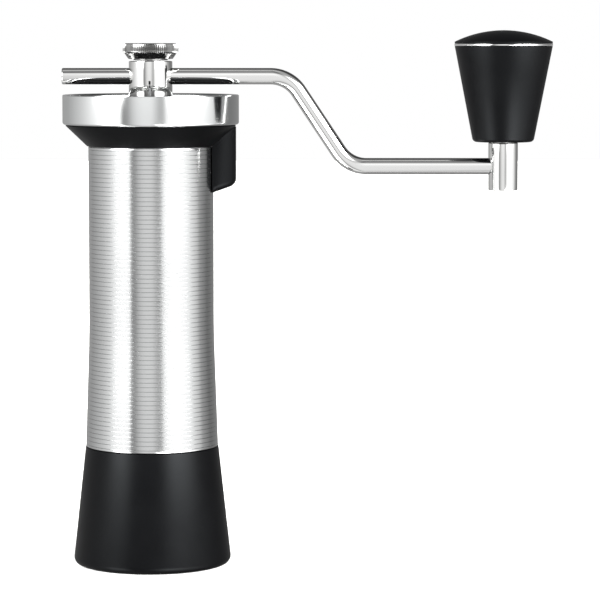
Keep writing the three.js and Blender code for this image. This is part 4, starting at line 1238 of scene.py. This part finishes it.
@dataclass
class CrankHub(SubAssembly):
    """The polished post over the shaft, its O-ring, and the knurled screw that clamps the rod in it."""

    radius: float = 8.75
    rod_height: float = 197.7
    rod_bore: float = 3.6
    socket: float = 4.42
    socket_top: float = 193.8
    screw_bore: float = 4.3
    slit: float = 0.8
    slit_top: float = 195.9
    top_edge: float = 0.4
    groove: float = 7.75
    wire: float = 0.7
    wire_reach: float = 8.75
    wire_sides: int = 24
    stem: float = 4.0
    neck: float = 6.9
    neck_top: float = 204.6
    cap_foot: float = 8.9
    knurl_height: float = 4.0
    knurls: int = 80
    knurl_depth: float = 0.5
    knurl_draw: float = 0.7
    cap_edge: float = 1.2
    cap_socket: float = 3.0
    cap_socket_depth: float = 1.5

    def hub(self) -> None:
        """Builds the hub with its bores, its slit and its groove."""
        hub = extent("crank_hub")
        ring = extent("hub_o_ring")
        low, high = ring.foot - GAP, ring.top + GAP / 3
        shape = turned([Corner(0, hub.foot), Corner(self.radius, hub.foot, 0.4),
                        Corner(self.radius, low, 0.1),
                        Corner(self.groove, low), Corner(self.groove, high), Corner(self.radius, high, 0.1),
                        Corner(self.radius, hub.top, self.top_edge), Corner(0, hub.top)], Sides.SHOWN)
        piece = finished(shape, "crank_hub_fine")
        half = self.slit / 2
        tools = [
            finished(slab((-half, -2 * self.radius, hub.foot - OVER), (half, 2 * self.radius, self.slit_top)),
                     "slit"),
            finished(post(self.socket, hub.foot - OVER, self.socket_top, 0, Sides.HEXAGON), "socket"),
            finished(post(self.screw_bore, self.rod_height, hub.top + OVER, 0, Sides.SMALL), "screw_bore"),
            finished(lay_along_x(post(self.rod_bore, -2 * self.radius, 2 * self.radius, 0, Sides.INNER),
                                 self.rod_height), "rod_bore")]
        self.place(carved(piece, Carving.CUT, tools), Body.CRANK, POLISHED_STEEL, "crank_hub")
        coil = wire_section(self.wire, self.wire_reach, (ring.foot + ring.top) / 2, self.wire_sides)
        bmesh.ops.spin(coil, geom=coil.verts[:] + coil.edges[:], cent=(0, 0, 0), axis=(0, 0, 1),
                       angle=FULL_TURN,
                       steps=Sides.INNER.value, use_merge=True)
        bmesh.ops.remove_doubles(coil, verts=coil.verts, dist=WELD)
        self.show(coil, "hub_o_ring", Body.CRANK, NITRILE)

    def screw(self) -> None:
        """Builds the clamping screw and the brass pad under it."""
        screw = extent("clamp_screw")
        pad = extent("clamp_pad")
        self.show(post(pad.radius, pad.foot, pad.top, 0.2, Sides.SMALL), "clamp_pad", Body.PAD, TURNED_BRASS)
        hub = extent("crank_hub")
        crest = screw.radius
        valley = crest - self.knurl_depth
        draw = self.knurl_draw
        band_foot = screw.top - self.knurl_height
        shoulder = screw.top - self.cap_edge
        half_edge = self.cap_edge * (1 - math.sqrt(0.5))
        band = finished(fluted(self.knurls, [
            Station(band_foot, crest - draw - 0.02, crest - draw),
            Station(band_foot + 0.35 * draw, valley - 0.3 * draw, crest - 0.3 * draw),
            Station(band_foot + draw, valley, crest),
            Station(shoulder, valley, crest),
            Station(screw.top - half_edge, valley - half_edge, crest - half_edge - 0.02),
            Station(screw.top, crest - self.cap_edge - 0.03, crest - self.cap_edge)]), "clamp_screw_fine")
        stem = turned([
            Corner(0, pad.top + GAP), Corner(self.stem, pad.top + GAP, 0.3), Corner(self.stem, hub.top + GAP),
            Corner(self.neck, hub.top + GAP, 0.1), Corner(self.neck, self.neck_top),
            Corner(self.cap_foot, self.neck_top, 0.3), Corner(crest - draw - 0.01, band_foot + 0.01),
            Corner(crest - 2 * draw, band_foot + 0.5), Corner(0, band_foot + 0.5)], Sides.SHOWN)
        carved(band, Carving.JOIN, [finished(stem, "stem")])
        dimple = turned([Corner(0, screw.top - self.cap_socket_depth),
                         Corner(self.cap_socket, screw.top - self.cap_socket_depth, 0.3),
                         Corner(self.cap_socket, screw.top + OVER), Corner(0, screw.top + OVER)], Sides.INNER)
        carved(band, Carving.CUT, [finished(dimple, "dimple")])
        # The whole screw, stem and neck too, takes the knurled steel's darker grey, which is painted shade.
        self.place(band, Body.CLAMP, SHADE_DARKENED_KNURLED_STEEL, "clamp_screw")

    def build(self) -> None:
        """Builds the hub and its screw."""
        self.hub()
        self.screw()


@dataclass
class CrankArm(SubAssembly):
    """The bent rod, and the spindle at its end that the knob turns on."""

    rod: float = 3.3
    bend: float = 13.5
    first_corner: float = 55.5
    drop: float = 36.2
    slope: float = math.radians(56.3)
    height: float = 197.7
    stub_edge: float = 0.5
    crank: float = CRANK_RADIUS
    spindle: float = 5.95
    neck: float = 3.5
    shoulder: float = 171.0
    socket: float = 3.6
    socket_end: float = -1.68
    screw_hole: float = 1.9
    screw_hole_depth: float = 10.3
    screw_tip: float = 1.2
    screw_radius: float = 1.59
    screw_runout: float = 0.4
    screw_pitch: float = 0.6
    head_radius: float = 3.5
    head_crown: float = 2.6
    head_height: float = 2.0
    crown_height: float = 0.6
    screw_key: float = 1.7
    screw_key_depth: float = 1.3

    def bar(self) -> bmesh.types.BMesh:
        """Builds the rod: straight runs and two round bends.

        Returns:
            A closed mesh.
        """
        low, high = (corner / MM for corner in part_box("crank_rod"))
        setback = self.bend * math.tan(self.slope / 2)
        bend_start = self.first_corner - setback
        level_start = self.first_corner + self.drop / math.tan(self.slope) + setback
        shape = bmesh.new()
        made = bmesh.ops.create_circle(shape, cap_ends=True, segments=Sides.SMALL.value, radius=self.rod)
        stand = Matrix.Translation((low.x, 0, self.height)) @ Matrix.Rotation(-math.pi / 2, 4, "Y")
        bmesh.ops.transform(shape, matrix=stand, verts=made["verts"])
        stub = shape.edges[:]
        loop = self.run(shape, stub, Vector((bend_start - low.x, 0, 0)))
        loop = self.turn(shape, loop, (bend_start, 0, self.height - self.bend), self.slope)
        sloped = Vector((math.cos(self.slope), 0, -math.sin(self.slope)))
        length = (level_start - bend_start - 2 * self.bend * math.sin(self.slope)) / math.cos(self.slope)
        loop = self.run(shape, loop, sloped * length)
        loop = self.turn(shape, loop, (level_start, 0, self.height - self.drop + self.bend), -self.slope)
        loop = self.run(shape, loop, Vector((high.x - level_start, 0, 0)))
        bmesh.ops.contextual_create(shape, geom=loop)
        bmesh.ops.bevel(shape, geom=stub, offset=self.stub_edge, offset_type="OFFSET", segments=4,
                        profile=0.5,
                        affect="EDGES", material=-1)
        return shape

    @staticmethod
    def run(shape: bmesh.types.BMesh, loop: list, way: Vector) -> list:
        """Carries an open end of the rod straight on.

        Args:
            shape: The rod's mesh.
            loop: The edges of its open end.
            way: Where the end goes.

        Returns:
            The edges of the new end.
        """
        grown = bmesh.ops.extrude_edge_only(shape, edges=loop)["geom"]
        verts = [part for part in grown if isinstance(part, bmesh.types.BMVert)]
        bmesh.ops.translate(shape, vec=way, verts=verts)
        return [part for part in grown if isinstance(part, bmesh.types.BMEdge) and
                all(vert in verts for vert in part.verts)]

    @staticmethod
    def turn(shape: bmesh.types.BMesh, loop: list, centre: Sequence[float], angle: float) -> list:
        """Carries an open end of the rod round a bend.

        Args:
            shape: The rod's mesh.
            loop: The edges of its open end.
            centre: The bend's centre.
            angle: How far it bends, about Y.

        Returns:
            The edges of the new end.
        """
        verts = list({vert for edge in loop for vert in edge.verts})
        spun = bmesh.ops.spin(shape, geom=verts + loop, cent=centre, axis=(0, 1, 0), angle=angle, steps=24)
        return [part for part in spun["geom_last"] if isinstance(part, bmesh.types.BMEdge)]

    def spindle_pieces(self) -> None:
        """Builds the spindle, its washer and its screw."""
        spindle = extent("knob_spindle")
        hole_foot = spindle.top - self.screw_hole_depth
        shape = turned([Corner(0, spindle.foot), Corner(self.spindle, spindle.foot, 0.45),
                        Corner(self.spindle, self.shoulder, 0.3), Corner(self.neck, self.shoulder),
                        Corner(self.neck, spindle.top, 0.2), Corner(self.screw_hole, spindle.top),
                        Corner(self.screw_hole, hole_foot), Corner(0, hole_foot)], Sides.INNER)
        piece = finished(shape, "knob_spindle_fine", self.crank)
        bore = lay_along_x(post(self.socket, -2 * self.spindle, self.socket_end, 0, Sides.INNER),
                           self.height - self.drop)
        carved(piece, Carving.CUT, [finished(bore, "rod_socket", self.crank)])
        self.place(piece, Body.ARM, POLISHED_SPINDLE, "knob_spindle")
        self.ring("spindle_washer", Body.ARM, PLATED_STEEL, self.screw_hole, 0.15, self.crank)
        screw = extent("spindle_screw")
        head = screw.top - self.head_height
        shape = turned([
            Corner(0, screw.foot), Corner(self.screw_tip, screw.foot),
            *thread(self.screw_radius, screw.foot + self.screw_runout, head, self.screw_pitch),
            Corner(self.head_radius, head, 0.2), Corner(self.head_radius, screw.top - self.crown_height, 0.4),
            Corner(self.head_crown, screw.top, 0.3), Corner(0, screw.top)], Sides.SMALL)
        piece = finished(shape, "spindle_screw_fine", self.crank)
        key = post(self.screw_key, screw.top - self.screw_key_depth, screw.top + OVER, 0, Sides.HEXAGON)
        socket = finished(key, "socket", self.crank)
        self.place(carved(piece, Carving.CUT, [socket]), Body.ARM, PLATED_STEEL, "spindle_screw")

    def build(self) -> None:
        """Builds the rod and the spindle."""
        self.show(self.bar(), "crank_rod", Body.ARM, POLISHED_BAR)
        self.spindle_pieces()


@dataclass
class Knob(SubAssembly):
    """The black knob: a tapered grip, a thin steel ring and a domed cap."""

    axis: float = CRANK_RADIUS
    foot: float = 12.2
    top: float = 19.7
    foot_fillet: float = 1.4
    bore: float = 5.3
    pocket: float = 7.3
    pocket_floor: float = 200.0
    plug: float = 7.0
    cap_edge: float = 0.9
    cap_gap: float = 0.1
    dome_steps: int = 14
    bush_bore: float = 3.8

    def dome(self, foot: float, peak: float) -> list[Corner]:
        """The cap's crown, from its rim to its middle.

        Args:
            foot: The height of the cap's lower face.
            peak: The height of its middle.

        Returns:
            The crown's corners.
        """
        rise = peak - foot - self.cap_edge
        radius = (self.top ** 2 + rise ** 2) / (2 * rise)
        corners = []
        for i in range(self.dome_steps + 1):
            r = self.top * math.cos(i / self.dome_steps * math.pi / 2)
            corners.append(Corner(max(r, 0.0) if i < self.dome_steps else 0.0,
                                  peak - radius + math.sqrt(radius ** 2 - r ** 2)))
        return corners

    def build(self) -> None:
        """Builds the grip, the ring, the cap and the bushes."""
        grip = extent("knob_grip")
        body = turned([Corner(self.bore, grip.foot, 0.3), Corner(self.foot, grip.foot, self.foot_fillet),
                       Corner(self.top, grip.top, 0.2), Corner(self.pocket, grip.top, 0.2),
                       Corner(self.pocket, self.pocket_floor, 0.3),
                       Corner(self.bore, self.pocket_floor, 0.2)],
                      Sides.SHOWN)
        self.show(body, "knob_grip", Body.KNOB, HANDLED_NYLON, self.axis)
        ring = extent("knob_trim_ring")
        self.ring("knob_trim_ring", Body.KNOB, POLISHED_SPINDLE, self.pocket, 0.1, self.axis, Sides.SHOWN)
        cap = extent("knob_cap")
        foot = ring.top + self.cap_gap
        crown = turned([Corner(0, cap.foot), Corner(self.plug, cap.foot, 0.3), Corner(self.plug, foot),
                        Corner(self.top, foot, 0.15), *self.dome(foot, cap.top)], Sides.SHOWN)
        self.show(crown, "knob_cap", Body.KNOB, HANDLED_NYLON, self.axis)
        for node in ("knob_bush_lower", "knob_bush_upper"):
            self.ring(node, Body.KNOB, ACETAL, self.bush_bore, x=self.axis)


# ---------------------------------------------------------------- studio


@dataclass(frozen=True)
class Light:
    """How bright the studio is in one direction, in degrees."""

    angle: float
    strength: float


# Around the horizon, from behind on the left, past the camera at 0, to behind on the right. The walls are
# white to both sides of the camera, with a dark edge next to the pale wall behind it.
AROUND = (
    Light(-180, 0.34), Light(-156, 0.40), Light(-134, 0.45), Light(-120, 0.56), Light(-108, 0.68),
    Light(-97, 0.80),
    Light(-88, 0.94), Light(-79, 1.10), Light(-68, 1.28), Light(-50, 1.34), Light(-37, 1.3),
    Light(-34.5, 0.32),
    Light(-31, 0.33), Light(-27, 0.42), Light(-21, 0.71), Light(-14, 0.91), Light(-6, 0.99), Light(4, 0.97),
    Light(9, 0.76), Light(14, 0.56), Light(19, 0.56), Light(23, 1.1), Light(29, 1.28), Light(50, 1.36),
    Light(75, 1.25), Light(87, 1.05), Light(97, 0.8), Light(103, 0.5), Light(114, 0.36), Light(127, 0.22),
    Light(180, 0.32),
)
# Two lamps with soft boxes stand left and right of the camera, above its height, and white boards lie
# below it.
BOXES = (
    Light(-180, 0.0), Light(-80, 0.0), Light(-60, 13.0), Light(-46, 13.0), Light(-30, 0.0), Light(22, 0.0),
    Light(38, 14.0), Light(62, 14.0), Light(86, 0.0), Light(180, 0.0),
)
BOX_RISE = (Light(-90, 0.0), Light(4, 0.0), Light(10, 0.35), Light(16, 1.4), Light(34, 1.4), Light(42, 0.0),
            Light(90, 0.0))
BOARDS = (
    Light(-180, 0.0), Light(-74, 0.0), Light(-62, 7.0), Light(-48, 7.0), Light(-36, 0.0), Light(8, 0.0),
    Light(19, 10.0), Light(36, 10.0), Light(56, 5.0), Light(76, 2.0), Light(100, 0.0), Light(180, 0.0),
)
BOARD_RISE = (Light(-90, 0.0), Light(-50, 0.0), Light(-38, 1.0), Light(-20, 1.0), Light(-13, 0.0),
              Light(90, 0.0))
# From straight down to straight up, on the camera's side and behind.
FRONT_RISE = (Light(-90, 0.62), Light(-75, 0.85), Light(-43, 1.0), Light(-5, 1.0), Light(13, 1.12),
              Light(27, 1.3),
              Light(38, 1.25), Light(46, 0.45), Light(58, 0.38), Light(75, 0.27), Light(90, 0.6))
BACK_RISE = (Light(-90, 1.3), Light(-60, 0.9), Light(0, 1.0), Light(12, 1.0), Light(24, 0.4), Light(50, 0.2),
             Light(62, 0.2), Light(76, 0.9), Light(90, 1.4))


@dataclass
class Studio:
    """A white floor, soft light all around and the camera."""

    target: tuple[float, float, float] = (60.1, 0.0, 107.3)
    distance: float = 1215.0
    elevation: float = math.radians(5)
    lens: float = 180.0
    sensor: float = 36.0
    view_depth: float = 100.0
    facing_blend: float = 0.25
    floor_half_width: float = 4.0
    floor_gap: float = 0.02
    floor_glow: float = 0.4

    def camera(self) -> None:
        """Places the camera in front of the grinder and a little above it."""
        data = bpy.data.cameras.new("camera")
        data.lens = self.lens
        data.sensor_width = self.sensor
        data.clip_end = self.view_depth
        camera = bpy.data.objects.new("camera", data)
        bpy.context.collection.objects.link(camera)
        x, y, z = self.target
        away = self.distance
        camera.location = Vector((x, y - away * math.cos(self.elevation),
                                  z + away * math.sin(self.elevation))) * MM
        camera.rotation_euler = (math.pi / 2 - self.elevation, 0, 0)
        bpy.context.scene.camera = camera

    @staticmethod
    def ramp(tree: bpy.types.NodeTree, angle: bpy.types.NodeSocket,
             lights: Sequence[Light]) -> bpy.types.NodeSocket:
        """Turns an angle to a strength.

        Args:
            tree: The world's tree.
            angle: The angle, in radians.
            lights: The strengths in order of angle.

        Returns:
            The strength.
        """
        low, high = lights[0].angle, lights[-1].angle
        peak = max(light.strength for light in lights)
        share = add_node(tree, "ShaderNodeMapRange", {"Value": angle, "From Min": math.radians(low),
                                                      "From Max": math.radians(high)})
        ramp = add_node(tree, "ShaderNodeValToRGB", {"Fac": share.outputs["Result"]})
        elements = ramp.color_ramp.elements
        for light in lights[1:-1]:
            elements.new((light.angle - low) / (high - low))
        for element, light in zip(elements, lights):
            element.color = (light.strength / peak,) * 3 + (1,)
        return sum_of(tree, "MULTIPLY", ramp.outputs["Color"], peak)

    def light(self) -> None:
        """Builds the soft light that comes from all around."""
        world = bpy.data.worlds.new("studio")
        bpy.context.scene.world = world
        world.use_nodes = True
        tree = world.node_tree
        tree.nodes.clear()
        way = add_node(tree, "ShaderNodeTexCoord").outputs["Generated"]
        parts = add_node(tree, "ShaderNodeSeparateXYZ", {"Vector": way})
        front = sum_of(tree, "MULTIPLY", parts.outputs["Y"], -1.0)
        azimuth = sum_of(tree, "ARCTAN2", parts.outputs["X"], front)
        elevation = sum_of(tree, "ARCSINE", parts.outputs["Z"])
        around = self.ramp(tree, azimuth, AROUND)
        facing = add_node(tree, "ShaderNodeMapRange", {"Value": front, "From Min": -self.facing_blend,
                                                       "From Max": self.facing_blend}).outputs["Result"]
        behind = self.ramp(tree, elevation, BACK_RISE)
        ahead = self.ramp(tree, elevation, FRONT_RISE)
        rise = add_node(tree, "ShaderNodeMix", {0: facing, 2: behind, 3: ahead}).outputs[0]
        seen = sum_of(tree, "MULTIPLY", around, rise)
        for profile, profile_rise in ((BOXES, BOX_RISE), (BOARDS, BOARD_RISE)):
            seen = sum_of(tree, "MULTIPLY_ADD", self.ramp(tree, azimuth, profile),
                          self.ramp(tree, elevation, profile_rise), seen)
        lit = add_node(tree, "ShaderNodeBackground", {"Color": linear("FFFFFF"), "Strength": seen})
        plain = add_node(tree, "ShaderNodeBackground", {"Color": linear("FFFFFF"), "Strength": 1.0})
        direct = add_node(tree, "ShaderNodeLightPath").outputs["Is Camera Ray"]
        mix = add_node(tree, "ShaderNodeMixShader", {0: direct, 1: lit.outputs["Background"],
                                                     2: plain.outputs["Background"]})
        add_node(tree, "ShaderNodeOutputWorld", {"Surface": mix.outputs["Shader"]})

    def floor(self) -> None:
        """Lays the white floor, which reflections don't show."""
        shape = bmesh.new()
        bmesh.ops.create_grid(shape, x_segments=1, y_segments=1, size=self.floor_half_width / MM)
        floor = finished(shape, "floor")
        floor.location.z = -self.floor_gap * MM
        floor.visible_glossy = False
        material = bpy.data.materials.new("matt_white_paper")
        material.use_nodes = True
        tree = material.node_tree
        tree.nodes.clear()
        paper = add_node(tree, "ShaderNodeBsdfDiffuse", {"Color": linear("F4F4F2")})
        glow = add_node(tree, "ShaderNodeEmission", {"Color": linear("FFFFFF"), "Strength": self.floor_glow})
        direct = add_node(tree, "ShaderNodeLightPath").outputs["Is Camera Ray"]
        dark = add_node(tree, "ShaderNodeEmission", {"Color": linear("000000"), "Strength": 0.0})
        shown = add_node(tree, "ShaderNodeMixShader", {0: direct, 1: dark.outputs["Emission"],
                                                       2: glow.outputs["Emission"]})
        both = add_node(tree, "ShaderNodeAddShader", {0: paper.outputs["BSDF"], 1: shown.outputs["Shader"]})
        add_node(tree, "ShaderNodeOutputMaterial", {"Surface": both.outputs["Shader"]})
        floor.data.materials.append(material)

    def build(self) -> None:
        """Sets the floor, the light and the camera."""
        bpy.context.scene.view_settings.view_transform = "Standard"
        self.floor()
        self.light()
        self.camera()


def main() -> None:
    """Builds the grinder from the foot up, then the studio."""
    logging.basicConfig(level=logging.INFO, format="%(name)s: %(message)s", stream=sys.stdout)
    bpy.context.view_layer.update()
    for part in (CatchCup(), Sleeve(), Chassis(), Burrs(), Adjuster(), Collar(), HopperRim(), CrankHub(),
                 CrankArm(),
                 Knob(), Studio()):
        log.info("building %s", type(part).__name__)
        part.build()


if __name__ == "__main__":
    main()
